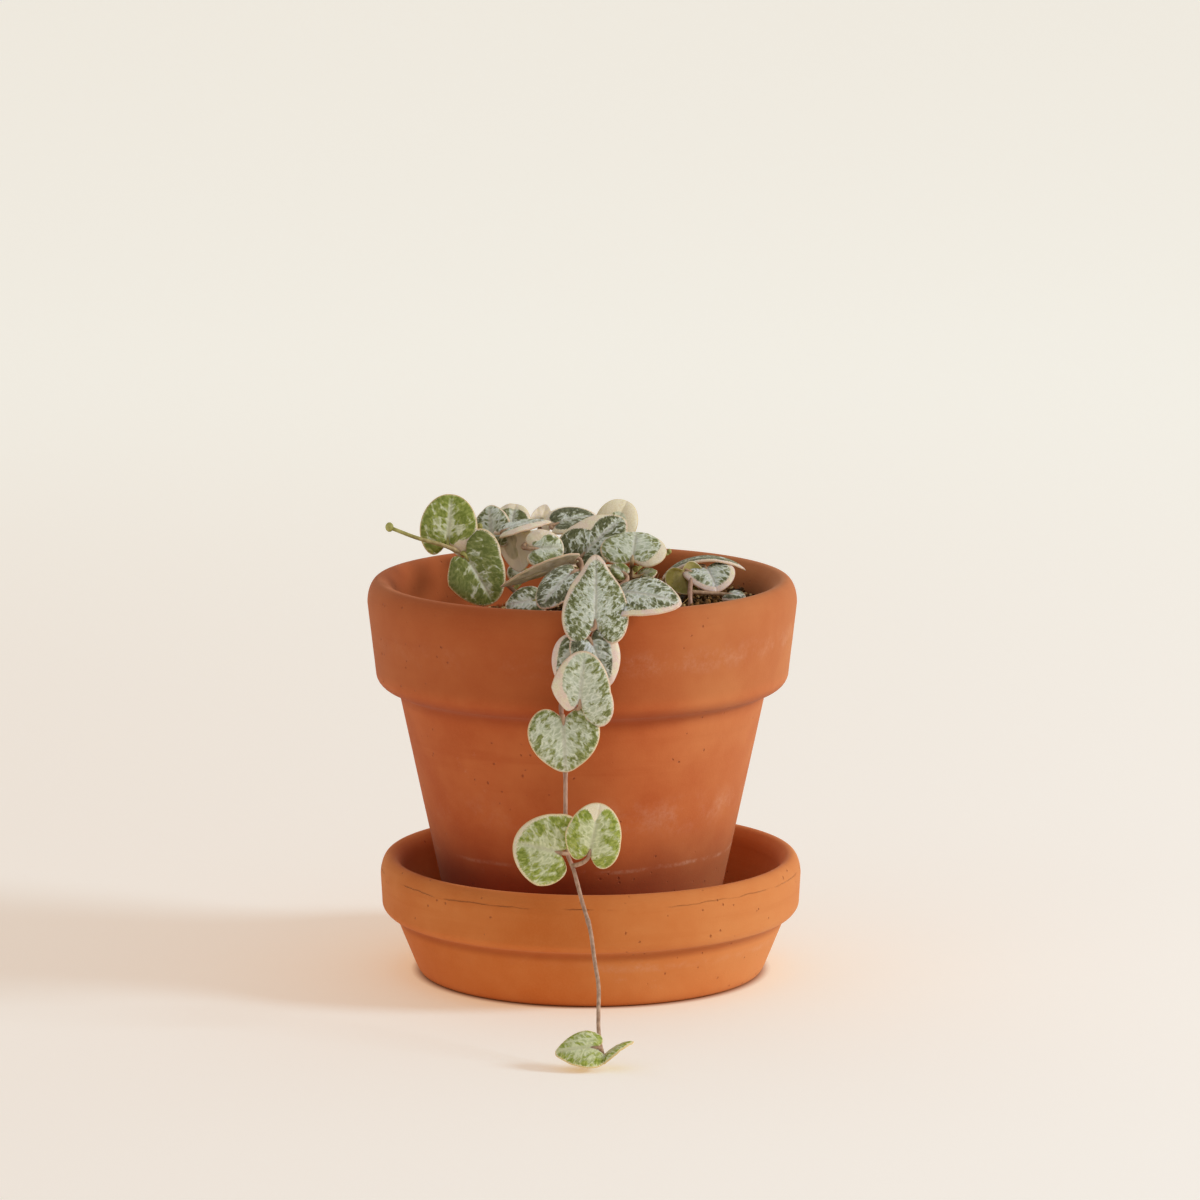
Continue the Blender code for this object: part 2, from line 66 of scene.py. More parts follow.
# Turned clay
TURN_STEPS = 180
MERGE_WITHIN = 0.02
HAND_PRESSED = 0.08

# Saucer
SAUCER_LIP_RADIUS = 50.8
SAUCER_LIP_INWARD = 3.2
SAUCER_LIP_ROUND = 5.0
SAUCER_RIM_DRAFT = 0.4
SAUCER_COLLAR_LOW = 15.4
SAUCER_COLLAR_TUCK = 1.6
SAUCER_STEP_RADIUS = 48.6
SAUCER_STEP_DEPTH = 3.0
SAUCER_BASE_RADIUS = 43.2
SAUCER_BASE_CHAMFER = (1.0, 1.6)
SAUCER_FLOOR = 6.5
SAUCER_WALL_TAPER = 2.2
SAUCER_WELL_RADIUS = 40.5
SAUCER_WELL_CORNER = (3.0, 2.2)

# Pot
POT_LIP_RADIUS = 51.0
POT_LIP_INWARD = 4.2
POT_RIM_LOW = 94.3
POT_COLLAR_RADIUS = 52.0
POT_COLLAR_LOW = 76.8
POT_COLLAR_TUCK = 4.2
POT_RIM_TINT = (75.0, 79.0)
POT_NECK_RADIUS = 46.2
POT_NECK_HEIGHT = 71.6
POT_NECK_ROUND = 1.0
POT_FOOT_RADIUS = 31.4
POT_FOOT_CHAMFER = (1.4, 2.0)
POT_FLOOR = POT_FOOT + 7.0
POT_BORE_CORNER = 2.0
DRAIN_RADIUS = 5.0
BORE = ((27.0, POT_FLOOR + POT_BORE_CORNER), (42.6, 73.6), (46.6, 88.3))

# Potting mix
SOIL_LOW = 86.0
SOIL_HIGH = 93.4
SOIL_RISE_START = -26.0
SOIL_RISE_RUN = 34.0
SOIL_CRUMB = 0.9
CRUMB_COARSE = 0.22
CRUMB_FINE = 0.6
SOIL_RADIUS = 46.0
SOIL_BED = 12.0
BED_TAPER = 3.0
BED_RING = 1.0
BED_RINGS = 45
BED_SUNK = 0.4
BED_ROUGH = 0.7
CRUMBS = 1500
FLECKS = 400
FIBRES = 150
BATCH = 50
BIT_DENT = 0.22

# Stems and blades
ROOT_DEPTH = 7.0
STEM_RADIUS = 0.62
STALK_RADIUS = 0.45
STALK_SUNK = 1.8
STALK_BOW = 0.35
STALK_STEPS = 8
STEM_THINS = 0.22
KNOB_SWELLS = 0.22
KNOB_REACH = 0.9
STEM_SIDES = 12
ROUTE_SPACING = 0.8
BLADE_THICKNESS = 1.15
BLADE_SIDES = 64
BLADE_RINGS = 26
BLADE_WAVE = 0.25
FURROW_DEPTH = 0.22
FURROW_WIDTH = 0.7
NOTCH_WIDTH = 0.33
POINT_WIDTH = 0.4


def linear(red, green, blue):
    """A colour as a screen shows it, 0 to 255, in the linear values that a shader takes."""
    found = []
    for part in (red, green, blue):
        share = part / 255.0
        found.append(share / 12.92 if share <= 0.04045 else ((share + 0.055) / 1.055) ** 2.4)
    return (*found, 1.0)


class Finish:
    """A material built a node at a time. Most methods give the socket that holds their result."""

    def __init__(self, name, sockets):
        self.material = bpy.data.materials.new(name)
        self.material.use_nodes = True
        self.tree = self.material.node_tree
        self.shader = self.tree.nodes["Principled BSDF"]
        for socket, value in sockets.items():
            self.feed(self.shader.inputs[socket], value)

    def feed(self, socket, value):
        if isinstance(value, bpy.types.NodeSocket):
            self.tree.links.new(value, socket)
        elif value is not None:
            socket.default_value = value

    def node(self, kind, inputs=(), **settings):
        """A node, with its first sockets fed in their order."""
        made = self.tree.nodes.new(kind)
        for name, value in settings.items():
            setattr(made, name, value)
        for socket, value in zip(made.inputs, inputs):
            self.feed(socket, value)
        return made

    def place(self):
        return self.node("ShaderNodeTexCoord").outputs["Object"]

    def attribute(self, name, output):
        return self.node("ShaderNodeAttribute", attribute_name=name).outputs[output]

    def math(self, operation, a, b=None, c=None):
        return self.node("ShaderNodeMath", (a, b, c), operation=operation).outputs[0]

    def times(self, a, b):
        return self.math("MULTIPLY", a, b)

    def plus(self, a, b):
        return self.math("ADD", a, b)

    def minus(self, a, b):
        return self.math("SUBTRACT", a, b)

    def spread(self, value, by, start):
        """The value times by, added to start."""
        return self.math("MULTIPLY_ADD", value, by, start)

    def off(self, value, level):
        """How far the value is from a level, on either side."""
        return self.math("ABSOLUTE", self.minus(value, level))

    def radius(self, x, y):
        """Distance from the upright axis."""
        return self.math("SQRT", self.plus(self.math("POWER", x, 2.0), self.math("POWER", y, 2.0)))

    def parts(self, vector):
        return self.node("ShaderNodeSeparateXYZ", (vector,)).outputs

    def join(self, x, y, z):
        return self.node("ShaderNodeCombineXYZ", (x, y, z)).outputs[0]

    def scaled(self, vector, x, y, z):
        made = self.node("ShaderNodeMapping", (vector,))
        made.inputs["Scale"].default_value = (x, y, z)
        return made.outputs[0]

    def resized(self, vector, factor):
        """The vector times one number."""
        made = self.node("ShaderNodeVectorMath", (vector,), operation="SCALE")
        self.feed(made.inputs["Scale"], factor)
        return made.outputs[0]

    def noise(self, vector, scale, detail=3.0, roughness=0.5, output="Fac"):
        made = self.node("ShaderNodeTexNoise")
        self.feed(made.inputs["Vector"], vector)
        self.feed(made.inputs["Scale"], scale)
        self.feed(made.inputs["Detail"], detail)
        self.feed(made.inputs["Roughness"], roughness)
        return made.outputs[output]

    def wander(self, vector, scale, reach, detail=2.0):
        """The vector, pushed about by up to reach."""
        tint = self.noise(vector, scale, detail, output="Color")
        push = self.node("ShaderNodeVectorMath", (tint, (0.5, 0.5, 0.5)), operation="SUBTRACT").outputs[0]
        push = self.resized(push, 2.0 * reach)
        return self.node("ShaderNodeVectorMath", (vector, push), operation="ADD").outputs[0]

    def cells(self, vector, scale, feature="F1"):
        made = self.node("ShaderNodeTexVoronoi", feature=feature)
        self.feed(made.inputs["Vector"], vector)
        self.feed(made.inputs["Scale"], scale)
        return made.outputs["Distance"]

    def fade(self, value, start, end, low=0.0, high=1.0):
        """low below start, high above end, smooth between; start may be the larger."""
        ends = (value, start, end, low, high)
        return self.node("ShaderNodeMapRange", ends, interpolation_type="SMOOTHSTEP").outputs[0]

    def mix(self, share, a, b):
        """Share of b over a, each a socket or a colour as a screen shows it."""
        made = self.node("ShaderNodeMix", (share,), data_type="RGBA", clamp_factor=True)
        for socket, colour in zip(made.inputs[6:8], (a, b)):
            self.feed(socket, linear(*colour) if isinstance(colour, tuple) else colour)
        return made.outputs[2]

    def bump(self, height, distance, strength):
        made = self.node("ShaderNodeBump")
        self.feed(made.inputs["Strength"], strength)
        self.feed(made.inputs["Distance"], distance)
        self.feed(made.inputs["Height"], height)
        return made.outputs[0]

    def done(self, colour, normal=None):
        """The finished material."""
        self.feed(self.shader.inputs["Base Color"], colour)
        self.feed(self.shader.inputs["Normal"], normal)
        return self.material


def clay_finish(
    name, pale, deep, damp, damp_low, damp_high, bloom_bands, dust_and_sheen_side, crease, crack_height=None
):
    """Unglazed fired clay: cloudy colour, throwing lines, pits, and salts where damp has dried.

    Sizes are millimetres. Damp starts below damp_high and is full below damp_low. bloom_bands are pale
    salt lines, each a height, a reach and a strength. dust_and_sheen_side is where pale dust, partly a
    painted sheen on the lit side, starts along x and where it is full. crease is the height and reach of
    the painted shade in the crease under the rim, and crack_height the height of a fine crack.
    """
    made = Finish(
        name,
        {
            "Roughness": 0.86,
            "Specular IOR Level": 0.22,
            "Sheen Weight": 0.12,
            "Sheen Roughness": 0.5,
            "Sheen Tint": linear(255, 226, 190),
        },
    )
    place = made.place()
    x, y, z = made.parts(place)
    height = made.times(z, 1.0 / MM)

    # Fired colour: clouds, throwing lines and grain
    cloud = made.noise(place, 32.0, 4.0, 0.6)
    streak = made.noise(made.scaled(place, 18.0, 18.0, 260.0), 1.0, 4.0, 0.6)
    grain = made.noise(place, 1900.0, 3.0, 0.7)
    colour = made.mix(made.fade(cloud, 0.3, 0.72), deep, pale)
    colour = made.mix(made.fade(streak, 0.52, 0.75, 0.0, 0.45), colour, deep)
    colour = made.mix(made.fade(grain, 0.35, 0.7, 0.0, 0.18), colour, pale)

    # Damp with a ragged upper edge
    climb = 16.0
    ragged = made.spread(made.noise(place, 45.0, 4.0, 0.62), climb, height)
    wet = made.fade(ragged, damp_high + 0.5 * climb, damp_low + 0.5 * climb, 0.0, 0.85)
    colour = made.mix(wet, colour, damp)

    # The clay darker from the collar up over the rim
    colour = made.mix(made.fade(height, *POT_RIM_TINT, 0.0, 0.4), colour, (170, 92, 48))

    # Pale dust on one side, partly a painted sheen where the key light falls
    dust_and_sheen_start, dust_and_sheen_full = dust_and_sheen_side
    dust_and_sheen = made.fade(x, dust_and_sheen_start * MM, dust_and_sheen_full * MM)
    dust_and_sheen = made.times(dust_and_sheen, made.fade(cloud, 0.2, 0.8, 0.4, 1.0))
    colour = made.mix(made.times(dust_and_sheen, 0.5), colour, (206, 142, 88))
    # Painted shade in the crease under the rim
    crease_height, crease_reach = crease
    crease_shade = made.fade(made.off(height, crease_height), crease_reach, 0.0)
    colour = made.mix(made.times(crease_shade, 0.5), colour, damp)

    # Salts in broken lines, more of them on the right, and scuffs
    chalk = (226, 186, 160)
    sunny = made.fade(x, -10.0 * MM, 10.0 * MM, 0.35, 1.0)
    haze = made.noise(place, 60.0, 6.0, 0.75)
    scratch = made.noise(place, 620.0, 3.0, 0.8)
    wave = 7.0
    line = made.spread(made.noise(place, 22.0, 3.0), wave, height)
    for level, reach, strength in bloom_bands:
        near = made.fade(made.off(line, level + 0.5 * wave), reach, 0.1 * reach)
        salt = made.times(near, made.fade(haze, 0.45, 0.68))
        salt = made.times(salt, made.fade(scratch, 0.3, 0.62, 0.3, 1.0))
        colour = made.mix(made.times(made.times(salt, sunny), strength), colour, chalk)
    scuffs = made.times(made.fade(haze, 0.62, 0.78), made.fade(scratch, 0.42, 0.64, 0.0, 0.25))
    colour = made.mix(scuffs, colour, chalk)

    # Pits, dented and darker inside as painted shade
    pit = made.cells(made.wander(place, 300.0, 0.8 * MM), 330.0)
    deep_pit = made.times(made.fade(pit, 0.13, 0.05), made.fade(cloud, 0.48, 0.55))
    colour = made.mix(made.times(deep_pit, 0.55), colour, damp)
    relief = made.spread(streak, 0.5, made.times(grain, 0.16))
    relief = made.minus(relief, made.times(deep_pit, 0.9))

    # The crack on the saucer's outer side, fainter to the right
    if crack_height is not None:
        wave = 2.6
        line = made.spread(made.noise(place, 55.0, 5.0, 0.65), wave, height)
        crack = made.fade(made.off(line, crack_height + 0.5 * wave), 0.16, 0.03)
        crack = made.times(crack, made.fade(made.noise(place, 75.0), 0.44, 0.56))
        outer = (SAUCER_LIP_RADIUS + 0.2) * MM
        crack = made.times(crack, made.fade(made.radius(x, y), outer, outer + 0.4 * MM))
        crack = made.times(crack, made.fade(x, 0.0, 30.0 * MM, 1.0, 0.5))
        colour = made.mix(made.times(crack, 0.28), colour, (120, 52, 24))
        relief = made.minus(relief, made.times(crack, 1.6))
    return made.done(colour, made.bump(relief, 0.3 * MM, 0.8))


def leaf_finish():
    """The variegated blade: green islands in a silver net, a cream margin and a tan or pink edge.

    Of the attributes, blade is the place on the flat blade in millimetres, with a third number that tells
    leaves apart. finish holds freshness, silver and pink, and grain how fine the islands are and how much
    the net cuts them. edge is above 0 in the margin, brink goes from 0 in the middle to 1 at the rim, and
    under is 1 on the lower side.
    """
    made = Finish(
        "variegated_leaf",
        {
            "Roughness": 0.46,
            "Specular IOR Level": 0.35,
            "Subsurface Weight": 0.4,
            "Subsurface Radius": (1.6, 1.5, 0.8),
            "Subsurface Scale": MM,
        },
    )
    blade = made.attribute("blade", "Vector")
    fresh, silver, pink = made.parts(made.attribute("finish", "Vector"))
    fineness, net, _ = made.parts(made.attribute("grain", "Vector"))
    edge = made.attribute("edge", "Fac")
    under = made.attribute("under", "Fac")
    brink = made.attribute("brink", "Fac")
    x, y, z = made.parts(blade)
    side = made.math("ABSOLUTE", x)
    fine = made.noise(blade, 3.4, 4.0, 0.7)

    # Where the islands lie: swept back from the midrib, sparse along it and cut up by veins
    swept = made.join(x, made.spread(side, -0.45, y), z)
    pattern = made.resized(swept, fineness)
    ragged = made.wander(made.wander(pattern, 0.5, 0.6), 2.4, 0.16, 3.0)
    patch = made.noise(made.scaled(ragged, 0.62, 0.62, 1.0), 1.0, 4.0, 0.55)
    vein = made.cells(made.scaled(ragged, 0.5, 0.7, 1.0), 1.0, "DISTANCE_TO_EDGE")
    level = made.spread(made.minus(patch, 0.5), 4.6, made.fade(brink, 0.25, 0.8, -0.3, 0.3))
    fray = made.minus(fine, 0.5)
    level = made.spread(fray, 0.6, level)
    level = made.plus(level, made.fade(side, 1.6, 0.3, 0.0, -0.45))
    level = made.spread(silver, -1.3, made.plus(level, 0.78))
    cut = made.times(made.fade(vein, 0.2, 0.0), made.fade(fine, 0.3, 0.6, 0.3, 0.9))
    level = made.minus(level, made.times(net, cut))
    island = made.fade(level, -0.36, 0.36)

    # Green of the islands, paler at their edges and darker in their middles
    tone = made.fade(made.noise(ragged, 1.6, 3.0), 0.35, 0.65)
    old = made.mix(tone, (84, 86, 60), (126, 128, 98))
    young = made.mix(tone, (140, 156, 52), (190, 200, 98))
    green = made.mix(fresh, old, young)
    green = made.mix(made.fade(level, 0.05, 0.5, 0.4, 0.0), green, (178, 184, 140))
    core = made.mix(fresh, (60, 66, 40), (112, 132, 40))
    green = made.mix(made.fade(level, 0.35, 0.9, 0.0, 0.4), green, core)

    # Silver between them, frosted in streaks, and the midrib
    pale = made.mix(fresh, (176, 186, 170), (188, 196, 140))
    bright = made.mix(fresh, (238, 242, 238), (232, 236, 198))
    streak = made.noise(made.scaled(ragged, 0.9, 2.4, 1.0), 1.0, 3.0, 0.6)
    frost = made.spread(made.fade(vein, 0.2, 0.0), 0.45, made.fade(streak, 0.3, 0.7, 0.0, 0.5))
    colour = made.mix(island, made.mix(frost, pale, bright), green)
    rib = made.times(made.fade(side, 0.7, 0.3), made.fade(brink, 0.95, 0.6, 0.0, 0.55))
    colour = made.mix(rib, colour, made.mix(fresh, (206, 204, 196), (204, 206, 172)))

    # Margin, cream or pink, and the thin line at its rim
    frayed = made.spread(fray, 0.2, edge)
    drift = made.noise(blade, 0.3, 2.0)
    cream = made.mix(made.fade(fine, 0.35, 0.65), (232, 220, 186), (244, 235, 210))
    rose = made.mix(made.fade(fine, 0.3, 0.7), (232, 202, 190), (242, 222, 210))
    margin = made.mix(made.times(pink, made.fade(drift, 0.36, 0.58)), cream, rose)
    colour = made.mix(made.fade(frayed, -0.02, 0.04), colour, margin)
    tan = made.mix(pink, (220, 184, 112), (216, 172, 148))
    colour = made.mix(made.fade(brink, 0.95, 1.0, 0.0, 0.75), colour, tan)

    # Underside, paler of its own and painted lighter still as painted light, plain but for its margin
    stain = made.fade(drift, 0.35, 0.6)
    aged = made.mix(stain, (204, 196, 164), (230, 220, 192))
    olive = made.mix(stain, (142, 128, 52), (176, 158, 84))
    below = made.mix(made.fade(edge, -0.05, 0.05), made.mix(fresh, aged, olive), (250, 236, 214))
    colour = made.mix(made.times(under, 0.85), colour, below)

    relief = made.spread(island, 0.3, made.times(fine, 0.35))
    relief = made.minus(relief, made.fade(side, 0.5, 0.0))
    return made.done(colour, made.bump(relief, 0.12 * MM, 0.7))


def stem_finish():
    """Thin wiry stem: mauve-brown where it is old, yellow-green where it is young."""
    made = Finish("stem", {"Roughness": 0.55, "Specular IOR Level": 0.35})
    place = made.place()
    young = made.attribute("young", "Fac")
    mottle = made.noise(made.scaled(place, 900.0, 900.0, 300.0), 1.0, 4.0, 0.6)
    tone = made.fade(mottle, 0.3, 0.7)
    old = made.mix(tone, (166, 124, 106), (204, 164, 144))
    green = made.mix(tone, (150, 148, 72), (190, 186, 112))
    return made.done(made.mix(young, old, green), made.bump(mottle, 0.1 * MM, 0.6))


def mix_finish():
    """Damp potting mix, near black between crumbs."""
    made = Finish("potting_mix", {"Roughness": 0.95, "Specular IOR Level": 0.2})
    place = made.place()
    lumps = made.noise(place, 700.0, 5.0, 0.7)
    colour = made.mix(made.fade(lumps, 0.3, 0.7), (22, 16, 12), (74, 54, 38))
    sand = made.fade(made.noise(place, 1500.0, 2.0), 0.62, 0.72)
    colour = made.mix(sand, colour, (128, 96, 58))
    return made.done(colour, made.bump(lumps, 0.8 * MM, 1.0))


def loose_finish(name, dark, light, scale):
    """Crumbs, flecks or fibres, each of its own shade between dark and light."""
    made = Finish(name, {"Roughness": 0.9, "Specular IOR Level": 0.25})
    shade = made.attribute("shade", "Fac")
    spots = made.noise(made.place(), scale, 4.0, 0.7)
    colour = made.mix(made.spread(spots, 0.5, made.times(shade, 0.7)), dark, light)
    return made.done(colour, made.bump(spots, 0.2 * MM, 0.8))


def paper_finish():
    """Backdrop paper with a painted glow, warm near the pot, so that the shadows on it stay light."""
    made = Finish("backdrop_paper", {"Roughness": 0.95, "Specular IOR Level": 0.0})
    place = made.place()
    x, y, _ = made.parts(place)
    glow = made.mix(made.fade(y, 0.1, 1.3), (181, 131, 80), (194, 163, 132))
    made.feed(made.shader.inputs["Emission Color"], glow)
    # Painted contact shadow: no glow under the saucer and just past its foot, where the paper is brown
    covered = SAUCER_BASE_RADIUS * MM
    outside_contact_shadow = made.fade(made.radius(x, y), covered - 1.0 * MM, covered + 3.0 * MM)
    made.feed(made.shader.inputs["Emission Strength"], outside_contact_shadow)
    paper = made.mix(made.noise(place, 2.0, 2.0), (197, 233, 251), (198, 234, 251))
    return made.done(made.mix(outside_contact_shadow, (190, 130, 84), paper))


def added(name, data):
    """A new object in the scene, for a mesh, a light or a camera."""
    made = bpy.data.objects.new(name, data)
    bpy.context.scene.collection.objects.link(made)
    return made


def meshed(name, shell, material):
    """A smooth-shaded object from a bmesh, which is freed."""
    mesh = bpy.data.meshes.new(name)
    shell.to_mesh(mesh)
    shell.free()
    mesh.shade_smooth()
    mesh.materials.append(material)
    return added(name, mesh)


def finished(name, shell, material, replaced=()):
    """A piece from a bmesh, which rides on the body and stands for the solids it replaces."""
    piece = meshed(name, shell, material)
    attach(piece, BODY)
    if replaced:
        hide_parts(*replaced)


def joined(shells):
    """One bmesh of several, which are freed."""
    whole = bmesh.new()
    for shell in shells:
        mesh = bpy.data.meshes.new("joined")
        shell.to_mesh(mesh)
        shell.free()
        whole.from_mesh(mesh)
        bpy.data.meshes.remove(mesh)
    return whole


def arc(centre_r, centre_z, radius_r, radius_z, start, end, points):
    """Points (r, z) on an elliptical arc; angles in degrees from +r towards +z."""
    found = []
    for i in range(points):
        angle = math.radians(start + (end - start) * i / (points - 1))
        found.append((centre_r + radius_r * math.cos(angle), centre_z + radius_z * math.sin(angle)))
    return found


def softened(points, width=0.8, steps=4):
    """The profile with its corners rounded off by a curve from width before each to width after.

    A turn of under 6 degrees stays, and so does a corner with a neighbour too near for the curve.
    """
    found = [points[0]]
    for before, corner, after in zip(points, points[1:], points[2:]):
        corner_at = Vector(corner)
        back = Vector(before) - corner_at
        on = Vector(after) - corner_at
        if min(back.length, on.length) < 1.2 * width or back.angle(-on) < math.radians(6.0):
            found.append(corner)
            continue
        start = corner_at + back.normalized() * width
        end = corner_at + on.normalized() * width
        for i in range(steps + 1):
            t = i / steps
            found.append(tuple((1 - t) ** 2 * start + 2 * t * (1 - t) * corner_at + t * t * end))
    return [*found, points[-1]]


def divided(points, longest=3.0):
    """The profile with no run between two points longer than this."""
    found = [points[0]]
    for a, b in zip(points, points[1:]):
        runs = max(1, math.ceil(math.dist(a, b) / longest))
        for i in range(1, runs + 1):
            t = i / runs
            found.append((a[0] + (b[0] - a[0]) * t, a[1] + (b[1] - a[1]) * t))
    return found


def turned(profile, centre_x, closed):
    """A bmesh of a profile (r, z) spun about the upright axis at centre_x."""
    shell = bmesh.new()
    line = [shell.verts.new(Vector((centre_x + r, 0.0, z)) * MM) for r, z in profile]
    edges = [shell.edges.new(pair) for pair in zip(line, line[1:])]
    if closed:
        edges.append(shell.edges.new((line[-1], line[0])))
    bmesh.ops.spin(
        shell,
        geom=[*line, *edges],
        cent=Vector((centre_x * MM, 0.0, 0.0)),
        axis=Vector((0.0, 0.0, 1.0)),
        dvec=Vector(),
        angle=2.0 * math.pi,
        steps=TURN_STEPS,
        use_merge=True,
    )
    bmesh.ops.remove_doubles(shell, verts=shell.verts[:], dist=MERGE_WITHIN * MM)
    bmesh.ops.recalc_face_normals(shell, faces=shell.faces[:])
    return shell


def thrown(profile, centre_x, closed=False):
    """The turned shape, pressed a little inwards here and there, as a potter's hands do."""
    shell = turned(divided(softened(profile)), centre_x, closed)
    for vertex in shell.verts:
        out = Vector((vertex.co.x - centre_x * MM, vertex.co.y, 0.0))
        if out.length < 10.0 * MM:
            continue
        place = vertex.co / MM
        way = out.normalized()
        slow = noise.noise(place * 0.035)
        ring = noise.noise(Vector((way.x, way.y, 0.45 * place.z)))
        vertex.co -= way * HAND_PRESSED * (1.0 + 0.6 * slow + 0.4 * ring) * MM
    return shell


def saucer():
    shoulder = SAUCER_TOP - SAUCER_LIP_ROUND
    outward = SAUCER_RIM_RADIUS - SAUCER_LIP_RADIUS
    cove_r = SAUCER_STEP_RADIUS + SAUCER_STEP_DEPTH
    cove_z = SAUCER_COLLAR_LOW - SAUCER_STEP_DEPTH
    corner_r, corner_z = SAUCER_WELL_CORNER
    chamfer_r, chamfer_z = SAUCER_BASE_CHAMFER
    profile = [(0.0, SAUCER_FLOOR), (SAUCER_WELL_RADIUS - corner_r, SAUCER_FLOOR)]
    profile += [(SAUCER_WELL_RADIUS, SAUCER_FLOOR + corner_z)]
    profile += [(SAUCER_LIP_RADIUS - SAUCER_LIP_INWARD - SAUCER_WALL_TAPER, SAUCER_COLLAR_LOW)]
    profile += arc(SAUCER_LIP_RADIUS, shoulder, SAUCER_LIP_INWARD, SAUCER_LIP_ROUND, 180, 90, 13)
    profile += arc(SAUCER_LIP_RADIUS, shoulder, outward, SAUCER_LIP_ROUND, 90, 0, 13)[1:]
    profile += [(SAUCER_RIM_RADIUS - SAUCER_RIM_DRAFT, SAUCER_COLLAR_LOW + SAUCER_COLLAR_TUCK)]
    profile += [(SAUCER_RIM_RADIUS - SAUCER_COLLAR_TUCK, SAUCER_COLLAR_LOW)]
    profile += arc(cove_r, cove_z, SAUCER_STEP_DEPTH, SAUCER_STEP_DEPTH, 120, 180, 5)
    profile += [(SAUCER_BASE_RADIUS + chamfer_r, SAUCER_BASE + chamfer_z)]
    profile += [(SAUCER_BASE_RADIUS, SAUCER_BASE), (0.0, SAUCER_BASE)]
    shell = thrown(profile, SAUCER_X)
    finish = clay_finish(
        "saucer_clay",
        pale=(222, 136, 72),
        deep=(207, 112, 47),
        damp=(150, 62, 26),
        damp_low=-30.0,
        damp_high=-20.0,
        bloom_bands=((11.0, 1.6, 0.2),),
        dust_and_sheen_side=(-20.0, 60.0),
        crease=(14.0, 2.2),
        crack_height=26.6,
    )
    finished("saucer_turned", shell, finish, ["saucer"])


def pot():
    height = POT_TOP - POT_RIM_LOW
    tuck_r = POT_NECK_RADIUS + POT_NECK_ROUND
    chamfer_r, chamfer_z = POT_FOOT_CHAMFER
    profile = arc(POT_LIP_RADIUS, POT_RIM_LOW, POT_RIM_RADIUS - POT_LIP_RADIUS, height, 90, 0, 13)
    profile += arc(tuck_r, POT_COLLAR_LOW, POT_COLLAR_RADIUS - tuck_r, POT_COLLAR_TUCK, 0, -75, 9)
    profile += [(POT_NECK_RADIUS, POT_NECK_HEIGHT), (POT_FOOT_RADIUS + chamfer_r, POT_FOOT + chamfer_z)]
    profile += [(POT_FOOT_RADIUS, POT_FOOT), (DRAIN_RADIUS, POT_FOOT), (DRAIN_RADIUS, POT_FLOOR)]
    profile += [(BORE[0][0] - POT_BORE_CORNER, POT_FLOOR), *BORE]
    profile += arc(POT_LIP_RADIUS, POT_RIM_LOW, POT_LIP_INWARD, height, 180, 97, 12)
    shell = thrown(profile, POT_X, closed=True)
    finish = clay_finish(
        "pot_clay",
        pale=(208, 114, 62),
        deep=(188, 88, 40),
        damp=(142, 54, 28),
        damp_low=24.0,
        damp_high=46.0,
        bloom_bands=((33.0, 0.8, 0.6), (46.0, 7.0, 0.22), (87.0, 5.0, 0.22)),
        dust_and_sheen_side=(8.0, 38.0),
        crease=(72.6, 4.0),
    )
    finished("pot_turned", shell, finish, ["pot"])


def soil_height(x, y):
    """Top of the potting mix: a slope up to the right and loose crumbs, in millimetres."""
    share = min(1.0, max(0.0, (x - SOIL_RISE_START) / SOIL_RISE_RUN))
    level = SOIL_LOW + (SOIL_HIGH - SOIL_LOW) * share * share * (3.0 - 2.0 * share)
    coarse = noise.noise(Vector((x * CRUMB_COARSE, y * CRUMB_COARSE, 4.0)))
    fine = noise.noise(Vector((x * CRUMB_FINE, y * CRUMB_FINE, 9.0)))
    return level + SOIL_CRUMB * (coarse + 0.7 * fine)


def soil():
    """The bed of the mix, rough all over, as deep as can be seen between its crumbs."""
    shell = bmesh.new()
    place = Matrix.Translation(Vector((POT_X, 0.0, SOIL_LOW - SOIL_BED)) * MM)
    bmesh.ops.create_cone(
        shell,
        cap_ends=True,
        cap_tris=False,
        segments=120,
        radius1=(SOIL_RADIUS - BED_TAPER) * MM,
        radius2=SOIL_RADIUS * MM,
        depth=SOIL_BED * MM,
        matrix=place,
    )
    top = max(shell.faces, key=lambda face: face.calc_center_median().z)
    for _ in range(BED_RINGS):
        bmesh.ops.inset_region(shell, faces=[top], thickness=BED_RING * MM)
    bmesh.ops.poke(shell, faces=[top])
    level = (SOIL_LOW - 0.5 * SOIL_BED) * MM
    for vertex in shell.verts:
        if vertex.co.z > level - 0.1 * MM:
            x, y = vertex.co.x / MM, vertex.co.y / MM
            rough = noise.fractal(Vector((x * 0.9, y * 0.9, 2.0)), 1.0, 2.2, 3)
            vertex.co.z = (soil_height(x, y) - BED_SUNK + BED_ROUGH * rough) * MM
    finished("soil_bed", shell, mix_finish(), ["soil"])


